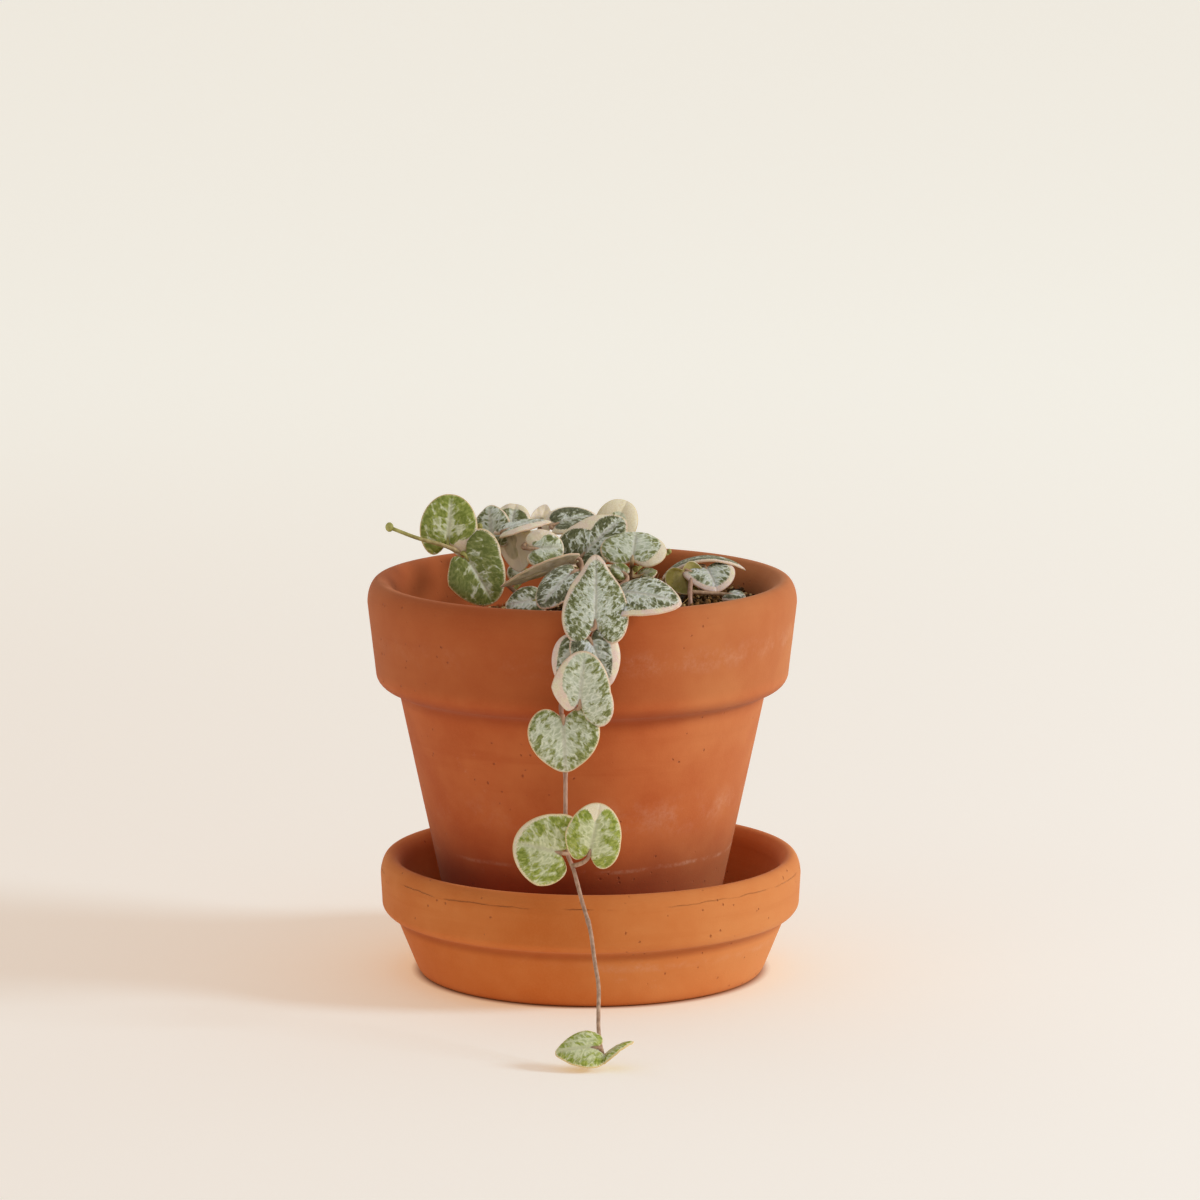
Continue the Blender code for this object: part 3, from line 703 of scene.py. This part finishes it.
def scattered(name, count, seed, finish, size, shape, lift):
    """Loose bits strewn over the mix, in batches because a small bmesh grows faster.

    size draws one bit's half sizes, shape makes it, and lift is how many times the smallest it is raised.
    The seed settles the draws and the dents.
    """
    draw = random.Random(seed)
    noise.seed_set(seed)
    shells = []
    for _ in range(count // BATCH):
        shell = bmesh.new()
        shade = shell.verts.layers.float.new("shade")
        for _ in range(BATCH):
            away = (SOIL_RADIUS - 1.2) * math.sqrt(draw.random())
            round_by = draw.uniform(0.0, 2.0 * math.pi)
            x, y = POT_X + away * math.cos(round_by), away * math.sin(round_by)
            half = size(draw)
            turn = Euler([draw.uniform(-1.2, 1.2), draw.uniform(-1.2, 1.2), draw.uniform(0.0, 6.3)])
            middle = Vector((x, y, soil_height(x, y) + lift * min(half))) * MM
            sized = Matrix.Diagonal((*half, 1.0 / MM)) * MM
            made = shape(shell, Matrix.Translation(middle) @ turn.to_matrix().to_4x4() @ sized)
            tone = draw.random()
            for vertex in made:
                vertex[shade] = tone
                vertex.co += noise.noise_vector(vertex.co / MM * 1.7) * BIT_DENT * min(half) * MM
        shells.append(shell)
    finished(name, joined(shells), finish)


def lump(shell, place):
    return bmesh.ops.create_icosphere(shell, subdivisions=1, radius=1.0, matrix=place)["verts"]


def sliver(shell, place):
    return bmesh.ops.create_cone(
        shell, cap_ends=True, segments=5, radius1=1.0, radius2=0.5, depth=2.0, matrix=place
    )["verts"]


def crumb_size(draw):
    return [draw.uniform(0.35, 1.25) * draw.uniform(0.6, 1.0) for _ in range(3)]


def fleck_size(draw):
    return [draw.uniform(0.2, 0.6) for _ in range(3)]


def fibre_size(draw):
    return [0.14, 0.12, draw.uniform(0.8, 3.0)]


def potting_bits():
    crumb = loose_finish("soil_crumb", (28, 18, 10), (150, 108, 60), 900.0)
    fleck = loose_finish("soil_fleck", (196, 150, 78), (250, 226, 170), 1200.0)
    fibre = loose_finish("soil_fibre", (96, 66, 36), (196, 156, 96), 900.0)
    scattered("soil_crumbs", CRUMBS, 3, crumb, crumb_size, lump, 0.2)
    scattered("soil_flecks", FLECKS, 5, fleck, fleck_size, lump, 0.9)
    scattered("soil_fibres", FIBRES, 8, fibre, fibre_size, sliver, 3.0)


USUAL_LEAF = {
    "notch": 0.5, "point": 0.1, "lean": 0.0, "taper": 0.14, "fold": 10.0, "bend": 14.0, "cup": 0.8,
    "fresh": 0.2, "silver": 0.5, "pink": 0.6, "fineness": 1.0, "net": 0.5,
    "rim": 0.05, "cream": 0.0, "toward": 0.0, "spread": 70.0,
}


def leaf(base, tip, face, width, **unusual):
    """One heart: base is its notch, tip its point, face the way its upper side looks, in millimetres.

    unusual holds what differs from USUAL_LEAF. notch and point are shares of the half length, lean how
    much longer the right lobe is, taper how much the blade narrows to its point, fold how steeply its
    halves rise from the midrib, bend the arch along it, and cup how far the margin turns down. fresh,
    silver and pink tint it, fineness makes its islands smaller and net cuts them up. The cream margin is
    rim wide, as a share of the blade, and wider by cream around toward, out to spread each way, where 0
    is the tip and more is to the right. Angles are degrees.
    """
    assert unusual.keys() <= USUAL_LEAF.keys()
    along = Vector(tip) - Vector(base)
    forward = along.normalized()
    up = (Vector(face) - Vector(face).dot(forward) * forward).normalized()
    place = {"base": Vector(base), "length": along.length, "width": width}
    return {**USUAL_LEAF, **unusual, **place, "forward": forward, "up": up, "right": forward.cross(up)}


def flat_place(shape, share, angle):
    """Place on the flat blade, across and along from its notch, in millimetres."""
    turn = abs(angle)
    reach = 1.0 - shape["notch"] * math.exp(-(((math.pi - turn) / NOTCH_WIDTH) ** 2))
    reach += shape["point"] * math.exp(-((turn / POINT_WIDTH) ** 2))
    reach += math.copysign(1.0, angle) * shape["lean"] * max(0.0, -math.sin(2.0 * turn))
    scale = shape["length"] / (2.0 + shape["point"] - shape["notch"])
    narrowed = 1.0 - shape["taper"] * math.cos(turn)
    across = share * 0.5 * shape["width"] * reach * math.sin(angle) * narrowed
    return across, scale * (1.0 - shape["notch"] + share * reach * math.cos(turn))


def blade_point(shape, x, y, share, lift):
    """Point of the bent blade at a flat place, share of the way to its margin and lift above its middle."""
    length = shape["length"]
    half = 0.5 * math.radians(shape["bend"])
    fold = math.radians(shape["fold"])
    radius = 0.5 * length / math.sin(half)
    height = radius + lift + math.sin(fold) * (math.hypot(x, 1.0) - 1.0) - shape["cup"] * share**4
    swing = half * (2.0 * y / length - 1.0)
    place = shape["base"] + shape["right"] * x * math.cos(fold)
    place += shape["forward"] * (0.5 * length + height * math.sin(swing))
    return place + shape["up"] * (height * math.cos(swing) - radius * math.cos(half))


def margin_field(shape, share, angle):
    """Above 0 in the cream margin: how far past its inner line the point lies, as a share of the blade."""
    off = abs(math.remainder(angle - math.radians(shape["toward"]), 2.0 * math.pi))
    wide = shape["rim"] + shape["cream"] * math.exp(-((off / math.radians(shape["spread"])) ** 2))
    return share - (1.0 - wide)


def blade(shape, seed):
    """A fleshy heart: a ball pressed flat, with its upper side down to its equator the blade's face."""
    shell = bmesh.new()
    layers = shell.verts.layers
    flat, finish, grain = [layers.float_vector.new(name) for name in ("blade", "finish", "grain")]
    edge, brink, under = [layers.float.new(name) for name in ("edge", "brink", "under")]
    bmesh.ops.create_uvsphere(shell, u_segments=BLADE_SIDES, v_segments=BLADE_RINGS, radius=1.0)
    for vertex in shell.verts:
        share = min(1.0, math.hypot(vertex.co.x, vertex.co.y))
        angle = math.atan2(vertex.co.x, vertex.co.y)
        above = 1.0 if vertex.co.z > 0.0 else -1.0
        flesh = 0.5 * BLADE_THICKNESS * above * abs(vertex.co.z) ** 0.7
        x, y = flat_place(shape, share, angle)
        round_it = Vector((3.0 * math.cos(angle), 3.0 * math.sin(angle), seed))
        wave = BLADE_WAVE * share**2 * noise.noise(round_it)
        furrow = -FURROW_DEPTH * above * math.exp(-((x / FURROW_WIDTH) ** 2)) * (1.0 - share**4)
        vertex[flat] = (x, y, 7.0 * seed)
        vertex[finish] = (shape["fresh"], shape["silver"], shape["pink"])
        vertex[grain] = (shape["fineness"], shape["net"], 0.0)
        vertex[edge] = margin_field(shape, share, angle)
        vertex[brink] = share
        vertex[under] = 0.0 if vertex.co.z > -0.15 else 1.0
        vertex.co = blade_point(shape, x, y, share, flesh + wave + furrow) * MM
    return shell


def smooth_route(points):
    """Evenly spaced points on a smooth curve through the route's points."""
    knots = [Vector(p) for p in points]
    ends = [2.0 * knots[0] - knots[1], *knots, 2.0 * knots[-1] - knots[-2]]
    found = []
    for a, b, c, d in zip(ends, ends[1:], ends[2:], ends[3:]):
        steps = max(1, round((c - b).length / ROUTE_SPACING))
        for i in range(steps):
            t = i / steps
            found.append(
                0.5 * (2.0 * b + (c - a) * t + (2.0 * a - 5.0 * b + 4.0 * c - d) * t * t)
                + 0.5 * (3.0 * b - a - 3.0 * c + d) * t * t * t
            )
    found.append(knots[-1])
    return found


def add_tube(shell, points, radii, young, layer):
    """A round stem along points: a circle carried from point to point, closed flat at both ends."""
    start = points[1] - points[0]
    ring = bmesh.ops.create_circle(
        shell,
        segments=STEM_SIDES,
        radius=radii[0] * MM,
        matrix=Matrix.Translation(points[0] * MM) @ start.to_track_quat("Z", "Y").to_matrix().to_4x4(),
    )["verts"]
    for vertex in ring:
        vertex[layer] = young[0]
    edges = list(dict.fromkeys(edge for vertex in ring for edge in vertex.link_edges))
    bmesh.ops.holes_fill(shell, edges=edges)
    facing = start.normalized()
    for i in range(1, len(points)):
        grown = bmesh.ops.extrude_edge_only(shell, edges=edges)["geom"]
        ring = [g for g in grown if isinstance(g, bmesh.types.BMVert)]
        edges = [g for g in grown if isinstance(g, bmesh.types.BMEdge)]
        on = (points[min(i + 1, len(points) - 1)] - points[i - 1]).normalized()
        turn = facing.rotation_difference(on).to_matrix().to_4x4()
        grow = Matrix.Scale(radii[i] / radii[i - 1], 4)
        back = Matrix.Translation(-points[i - 1] * MM)
        carry = Matrix.Translation(points[i] * MM) @ turn @ grow @ back
        bmesh.ops.transform(shell, matrix=carry, verts=ring)
        for vertex in ring:
            vertex[layer] = young[i]
        facing = on
    bmesh.ops.holes_fill(shell, edges=edges)


def add_stalk(shell, shape, route, young, layer):
    """The leaf stalk: from the nearest point of the stem into the blade at its notch."""
    start = min(route, key=lambda p: (p - shape["base"]).length)
    end = shape["base"] + shape["forward"] * STALK_SUNK
    bow = shape["base"] - shape["forward"] * STALK_BOW * (shape["base"] - start).length
    points = []
    for i in range(STALK_STEPS):
        t = i / STALK_STEPS
        points.append((1.0 - t) ** 2 * start + 2.0 * t * (1.0 - t) * bow + t * t * shape["base"])
    points += [shape["base"], end]
    radii = [STALK_RADIUS * (1.25 - 0.3 * i / len(points)) for i in range(len(points))]
    add_tube(shell, points, radii, [young] * len(points), layer)


def leafy_stem(name, plan, leaf_material, stem_material, seed):
    """A stem with its stalks and buds in one piece, and its leaves in another."""
    stem = bmesh.new()
    layer = stem.verts.layers.float.new("young")
    route = smooth_route(plan["route"])
    count = len(route)
    draw = random.Random(seed)
    knobs = sorted(draw.sample(range(8, count), max(2, count // 30)))
    radii = []
    for i in range(count):
        swell = sum(math.exp(-(((i - knob) * ROUTE_SPACING / KNOB_REACH) ** 2)) for knob in knobs)
        radii.append(STEM_RADIUS * (0.98 - STEM_THINS * i / count + KNOB_SWELLS * min(1.0, swell)))
    green = [plan["young"] * min(1.0, i / count) ** 2 for i in range(count)]
    add_tube(stem, route, radii, green, layer)
    for shape in plan["leaves"]:
        add_stalk(stem, shape, route, plan["young"], layer)
    for shoot in plan.get("shoots", []):
        line = smooth_route(shoot)
        add_tube(stem, line, [STALK_RADIUS] * len(line), [1.0] * len(line), layer)
    for place, size in plan.get("buds", []):
        at = Matrix.Translation(Vector(place) * MM) @ Matrix.Diagonal((0.85, 0.85, 1.0, 1.0))
        bud = bmesh.ops.create_uvsphere(stem, u_segments=16, v_segments=12, radius=size * MM, matrix=at)
        for vertex in bud["verts"]:
            vertex[layer] = 1.0
    bmesh.ops.recalc_face_normals(stem, faces=stem.faces[:])
    finished(name + "_stem", stem, stem_material, [name])
    blades = joined(blade(shape, seed + 1.7 * i) for i, shape in enumerate(plan["leaves"]))
    finished(name + "_leaves", blades, leaf_material, [name])


def rooted(x, y, *rest):
    """A stem's route, starting upright in its hole in the mix."""
    top = soil_height(x, y)
    return [(x, y, top - ROOT_DEPTH), (x, y, top - 0.5 * ROOT_DEPTH), (x, y, top + 1.0), *rest]


# Trailing stem, over the front rim and down to the floor
TRAILING_ROUTE = rooted(
    -4, -22, (-4, -24, 97), (-4, -32, 101.5), (-4, -42, 104), (-3.5, -50, 103.2), (-2.5, -55, 99.5),
    (-1.5, -56.8, 95.5), (-2.5, -56.8, 92), (-4, -56.5, 88), (-5.5, -56.5, 83), (-7, -56.8, 78),
    (-6.5, -57, 73), (-6, -57, 67), (-6, -57, 61), (-6, -58, 52.5), (-6, -60, 46.5), (-5.5, -62, 42.5),
    (-4, -64, 39), (-2, -69, 32.5), (0, -76, 27), (1, -83, 21.5), (2, -90, 16.5), (2, -96, 12),
    (2, -99.5, 8.6), (2.4, -102.5, 5.6), (2.9, -105, 4),
)
TRAILING_LEAVES = [
    leaf(
        (1.2, -57.8, 97.6), (1.3, -48, 114), (0, -0.88, 0.45), 15.8, notch=0.55, point=0.3, taper=0.24,
        fold=4, silver=0.49, pink=0.8, fineness=1.3, net=0.6, rim=0.04, cream=0.13, toward=-40,
    ),
    leaf(
        (6.4, -50, 104.7), (22, -55.5, 103), (0.1, -0.6, 0.8), 14.2, notch=0.35, lean=0.2, fold=2,
        fresh=0.1, silver=0.4, pink=0.9, net=0.9, cream=0.15, toward=70,
    ),
    leaf(
        (-3.8, -34.4, 107.4), (-12.2, -42.5, 99.8), (-0.5, -0.75, 0.4), 11.5, notch=0.4, point=0, fold=4,
        fresh=0.05, silver=0.2, pink=0.8, net=0.9,
    ),
    leaf(
        (-3.8, -22, 108.4), (-22.3, -26, 102.2), (-0.3, 0.46, 0.85), 10.4, notch=0.25, point=0.2, fold=6,
        bend=2, cup=0.2, fresh=0, silver=0.4, pink=0.8, rim=0.08,
    ),
    leaf(
        (-3.6, -58, 93), (-7.2, -59, 83.5), (-0.2, -0.95, 0.2), 9.5, fresh=0.1, silver=0.3, pink=0.9,
        rim=0.08, cream=0.3, toward=80, spread=50,
    ),
    leaf(
        (0, -58, 94.5), (4.5, -59.5, 83), (0.15, -0.97, 0.2), 12, fresh=0, silver=0.3, pink=1, net=0.7,
        rim=0.06, cream=0.32, toward=-75,
    ),
    leaf(
        (-2.5, -62, 79), (-1.5, -63, 92.5), (0, -1, 0.1), 14.6, notch=0.55, point=0, lean=0.25, fresh=0.35,
        silver=0.85, pink=0.8, fineness=1.1, net=0.3, cream=0.4, toward=-110, spread=58,
    ),
    leaf(
        (-6.5, -59.5, 75.5), (-6, -60, 62), (0, -1, 0), 17.6, notch=0.45, point=0.12, fresh=0.45,
        silver=0.66, pink=0.2, net=0.3,
    ),
    leaf(
        (-7, -63, 43), (-18.5, -64, 46.2), (-0.1, -1, 0.1), 18.4, notch=0.55, point=0, lean=0.1, fresh=0.9,
        pink=0.1, fineness=0.85, net=0.3, cream=0.1, toward=10, spread=60,
    ),
    leaf(
        (-0.3, -66, 43), (2.4, -67, 56), (0.1, -1, 0.1), 13.9, notch=0.45, point=0, lean=0.1, taper=0.04,
        fresh=0.95, pink=0.1, fineness=0.85, net=0.3, cream=0.5, toward=-8, spread=16,
    ),
    leaf(
        (1.8, -105, 5.2), (-8.3, -106, 4.4), (-0.05, -0.66, 0.75), 10.4, notch=0.45, taper=0.26, fold=2,
        fresh=1, silver=0.55, pink=0,
    ),
    leaf(
        (3, -105.3, 2.4), (10, -103, 6.8), (-0.63, 0.06, 0.77), 7.5, notch=0.3, fold=4, fresh=1, pink=0,
        rim=0.06,
    ),
    leaf((8.4, -24, 105), (4.8, -23, 107), (0, -0.8, 0.6), 4.8, fresh=0.4, silver=0.2, pink=0.4, rim=0.07),
]

# Left stem, over the left rim, with a young shoot
LEFT_ROUTE = rooted(
    -13, -8, (-15, -8.5, 94), (-21, -9, 100), (-27, -10.5, 105), (-32, -12.5, 108.2), (-36, -14.5, 110.4),
    (-43, -15.5, 112.6), (-49, -16, 115),
)
LEFT_LEAVES = [
    leaf(
        (-35.5, -12, 110.7), (-34.6, -10, 122.9), (0, -1, 0.15), 14.6, notch=0.55, point=0, taper=0.04,
        fresh=0.75, silver=0.05, pink=0.5, fineness=0.75, net=0.9, rim=0.03, cream=0.5, toward=140,
        spread=36,
    ),
    leaf(
        (-31, -14.5, 108), (-24, -18, 96.6), (0.1, -0.97, 0.2), 15.4, point=0, lean=-0.25, fresh=0.5,
        silver=-0.05, pink=0.3, fineness=0.75, net=0.8, rim=0.03, cream=0.05, toward=-90,
    ),
    leaf((-13, -29, 99.2), (-21, -30, 97.8), (0, -0.8, 0.6), 9, fold=4, fresh=0.1, silver=0.4, rim=0.07),
    leaf((-16.4, 1, 101.8), (-20.4, -4, 101.3), (0, -0.7, 0.7), 6.5, silver=0.3, rim=0.07),
]

# Left of the crown
CROWN_LEFT_ROUTE = rooted(
    -6, 4, (-7.5, 3, 98), (-11, 1, 104), (-15, 0, 108.5), (-19, 0, 110.5), (-23, 1, 110.5),
)
CROWN_LEFT_LEAVES = [
    leaf((-24.5, 0, 109.5), (-25.5, 6, 118), (-0.3, -0.8, 0.5), 10.5, pink=0.7, net=0.8, rim=0.08),
    leaf(
        (-20.4, 6, 110.4), (-18.8, 11, 117.6), (0, -0.8, 0.6), 9.8, point=0, taper=0.05, silver=0.25,
        pink=0.4, rim=0.08, cream=0.3, spread=60,
    ),
    leaf(
        (-21.4, -6, 113), (-9.8, -2, 115.2), (-0.1, -0.14, 0.98), 9, point=0.2, fresh=0.1, pink=0.7,
        net=0.8, rim=0.1, cream=0.35, toward=80,
    ),
    leaf(
        (-20.6, -1, 112.6), (-16.6, -6, 102.6), (0.25, 0.9, 0.3), 11, notch=0.3, fold=24, fresh=0.3,
        silver=0.3, rim=0.3, cream=0.7, toward=70, spread=80,
    ),
    leaf(
        (-14.2, -13, 109.5), (-6.3, -11.4, 109.4), (-0.1, -0.9, 0.4), 10, point=0, fresh=0.3, silver=0.45,
        pink=0.5, rim=0.1, cream=0.5, toward=-120, spread=45,
    ),
    leaf((-13, 19, 110), (-11.5, 23, 115), (0.1, 0.8, 0.5), 6, fresh=0, silver=0.6, pink=1, rim=0.8),
]

# Middle of the crown
CROWN_MIDDLE_ROUTE = rooted(
    1, -4, (0, -5, 98), (-1, -2, 104), (-2, 6, 107.5), (0, 14, 108.5), (3, 22, 107.5),
)
CROWN_MIDDLE_LEAVES = [
    leaf(
        (-2.6, -10, 106.8), (8.4, -4, 116.2), (-0.2, -0.8, 0.5), 14.6, notch=0.4, lean=-0.15, fold=14,
        fresh=0.1, silver=0.1, net=1, rim=0.06, cream=0.5, toward=-70, spread=24,
    ),
    leaf(
        (-9.6, 13, 111.5), (2.5, 17, 113.3), (0, -0.38, 0.92), 12.6, notch=0.3, point=0.05, fresh=0.05,
        silver=0, pink=0.5, fineness=1.2, rim=0.2,
    ),
    leaf(
        (5.2, 26, 107.4), (9.4, 30, 115.4), (0.1, -0.9, 0.4), 11, point=0, taper=0.05, fresh=0.5, pink=0.1,
        rim=0.6,
    ),
]

# Right of the crown
CROWN_RIGHT_ROUTE = rooted(9, -6, (9.5, -9, 98.5), (10, -13, 103), (10.2, -17, 106))
CROWN_RIGHT_LEAVES = [
    leaf(
        (10.3, -19.5, 107.6), (11.5, -10, 113.8), (0, -0.56, 0.83), 16.4, notch=0.35, point=0, fold=4,
        fresh=0.35, silver=0.62, pink=0.3, net=0.8, cream=0.25, toward=120, spread=50,
    ),
    leaf(
        (12.5, -12, 102.5), (16.5, -12, 104), (0, -0.7, 0.7), 4, fresh=0.4, silver=0.2, pink=0.3, rim=0.07,
    ),
]

# Right stem
RIGHT_ROUTE = rooted(25, -2, (25, 1, 97), (25.5, 5, 100), (26, 8.5, 101))
RIGHT_LEAVES = [
    leaf(
        (28.8, 9.6, 101.4), (31.8, 1.5, 96.7), (0.1, -0.5, 0.86), 13.8, notch=0.4, point=0, fresh=0.1,
        silver=0.6, pink=0.9, net=0.7, rim=0.22,
    ),
    leaf(
        (21, 12, 100.4), (39.6, 12, 100.6), (0, 0.05, 1), 9, bend=60, fresh=0.1, silver=0.1, pink=0.8,
        net=0.3, rim=0.14,
    ),
    leaf(
        (23, 6, 101), (25.9, 3, 95.2), (-0.2, 0.95, -0.3), 10.6, fold=16, fresh=1, silver=0.2, pink=0.3,
        rim=0.03,
    ),
    leaf(
        (34.6, 1, 95.6), (38.8, -2, 95.6), (-0.2, -0.2, 0.95), 5.6, bend=8, fresh=0, silver=0.2, pink=0.9,
        rim=0.12,
    ),
]

# Back stem, out of the photo's sight
BACK_ROUTE = rooted(-2, 16, (-3, 20, 97), (-5, 26, 101.5), (-9, 32, 103.5), (-15, 36, 103))
BACK_LEAVES = [
    leaf((-5, 28, 103), (2, 37, 104), (0, 0.5, 0.85), 13, silver=0.7, rim=0.07, cream=0.2),
    leaf((-12, 33, 105), (-24, 30, 106), (0, 0.3, 0.95), 12.5, fresh=0.3, rim=0.07, cream=0.3, toward=90),
    leaf((-15, 38, 102.5), (-19, 46, 104.5), (0, -0.3, 0.95), 11, fresh=0.6, silver=0.4, rim=0.07),
    leaf((-1, 21, 98.5), (9, 26, 98), (0.1, 0.3, 0.95), 12, rim=0.07, cream=0.3, toward=-60),
    leaf((-6, 22, 99), (-17, 18, 97.5), (0.1, 0.3, 0.95), 11.5, silver=0.6, rim=0.12),
]

VINES = {
    "vine_trailing": {"young": 0.15, "route": TRAILING_ROUTE, "leaves": TRAILING_LEAVES},
    "vine_left": {
        "young": 1.0,
        "route": LEFT_ROUTE,
        "leaves": LEFT_LEAVES,
        "shoots": [[(-32, -12.5, 108.2), (-29.5, -11, 111), (-27.8, -10, 114)]],
        "buds": [((-49.8, -16, 115.4), 1.2), ((-27.6, -10, 114.6), 0.9)],
    },
    "vine_crown_left": {"young": 0.2, "route": CROWN_LEFT_ROUTE, "leaves": CROWN_LEFT_LEAVES},
    "vine_crown_middle": {"young": 0.2, "route": CROWN_MIDDLE_ROUTE, "leaves": CROWN_MIDDLE_LEAVES},
    "vine_crown_right": {
        "young": 0.4,
        "route": CROWN_RIGHT_ROUTE,
        "leaves": CROWN_RIGHT_LEAVES,
        "shoots": [[(10, -13, 103), (14, -10, 105.6), (19.4, -9, 107.8)]],
        "buds": [((11.2, -17.5, 105.2), 0.9), ((19.6, -9, 108.2), 0.7)],
    },
    "vine_right": {"young": 0.2, "route": RIGHT_ROUTE, "leaves": RIGHT_LEAVES},
    "vine_back": {"young": 0.3, "route": BACK_ROUTE, "leaves": BACK_LEAVES},
}


# Studio, in metres
SWEEP_HALF = 6.0
SWEEP_WALL = 5.0
SWEEP_BEND = 3.0
SWEEP_NEARER = 2.0
FLOOR_GAP = 0.0001
LAMP_AIM = 0.05
SKY_STRENGTH = 0.44
LAMP_COLOUR = (1.0, 0.98, 0.95)


def lamp(name, azimuth, elevation, distance, size, power):
    """A soft box aimed at the pot; azimuth 0 is over the camera and 90 on its right, in degrees."""
    light = bpy.data.lights.new(name, "AREA")
    light.shape = "DISK"
    light.size = size
    light.energy = power
    light.color = LAMP_COLOUR
    made = added(name, light)
    round_by, up = math.radians(azimuth), math.radians(elevation)
    way = Vector((math.sin(round_by) * math.cos(up), -math.cos(round_by) * math.cos(up), math.sin(up)))
    made.location = way * distance + Vector((0.0, 0.0, LAMP_AIM))
    made.rotation_euler = way.to_track_quat("Z", "Y").to_euler()


def studio():
    """A pale sweep that turns up into a wall far behind, a key light from the right and soft fill."""
    shell = bmesh.new()
    bmesh.ops.create_grid(shell, x_segments=1, y_segments=1, size=SWEEP_HALF)
    far = max(v.co.y for v in shell.verts)
    edge = [e for e in shell.edges if all(v.co.y > far - MM for v in e.verts)]
    grown = bmesh.ops.extrude_edge_only(shell, edges=edge)["geom"]
    wall = [g for g in grown if isinstance(g, bmesh.types.BMVert)]
    bmesh.ops.translate(shell, verts=wall, vec=Vector((0.0, 0.0, SWEEP_WALL)))
    bmesh.ops.bevel(
        shell, geom=edge, offset=SWEEP_BEND, segments=24, profile=0.5, affect="EDGES", material=-1
    )
    bmesh.ops.translate(shell, verts=shell.verts[:], vec=Vector((0.0, -SWEEP_NEARER, -FLOOR_GAP)))
    meshed("sweep", shell, paper_finish())
    world = bpy.data.worlds.new("studio")
    world.use_nodes = True
    glow = world.node_tree.nodes["Background"]
    glow.inputs["Color"].default_value = linear(255, 252, 248)
    glow.inputs["Strength"].default_value = SKY_STRENGTH
    bpy.context.scene.world = world
    lamp("key", 80.0, 24.0, 1.6, 0.4, 13.0)
    lamp("fill", -50.0, 30.0, 1.8, 0.8, 0.8)


# Camera, at the photo's angle, found from the ellipses of the rims
CAMERA_PLACE = (2.36, -1380.8, 325.2)
CAMERA_TARGET = (2.36, 0.0, 94.41)
CAMERA_LENS = 167.2
CAMERA_SENSOR = 36.0


def camera():
    lens = bpy.data.cameras.new("camera")
    lens.lens = CAMERA_LENS
    lens.sensor_width = CAMERA_SENSOR
    lens.clip_start = 0.05
    lens.clip_end = 40.0
    made = added("camera", lens)
    made.location = Vector(CAMERA_PLACE) * MM
    made.rotation_euler = (Vector(CAMERA_TARGET) - Vector(CAMERA_PLACE)).to_track_quat("-Z", "Y").to_euler()
    bpy.context.scene.camera = made


camera()
studio()
saucer()
pot()
soil()
potting_bits()
leaves = leaf_finish()
stems = stem_finish()
for number, (vine, plan) in enumerate(VINES.items()):
    leafy_stem(vine, plan, leaves, stems, 11.3 * (number + 1))

bpy.context.scene.view_settings.view_transform = "Standard"
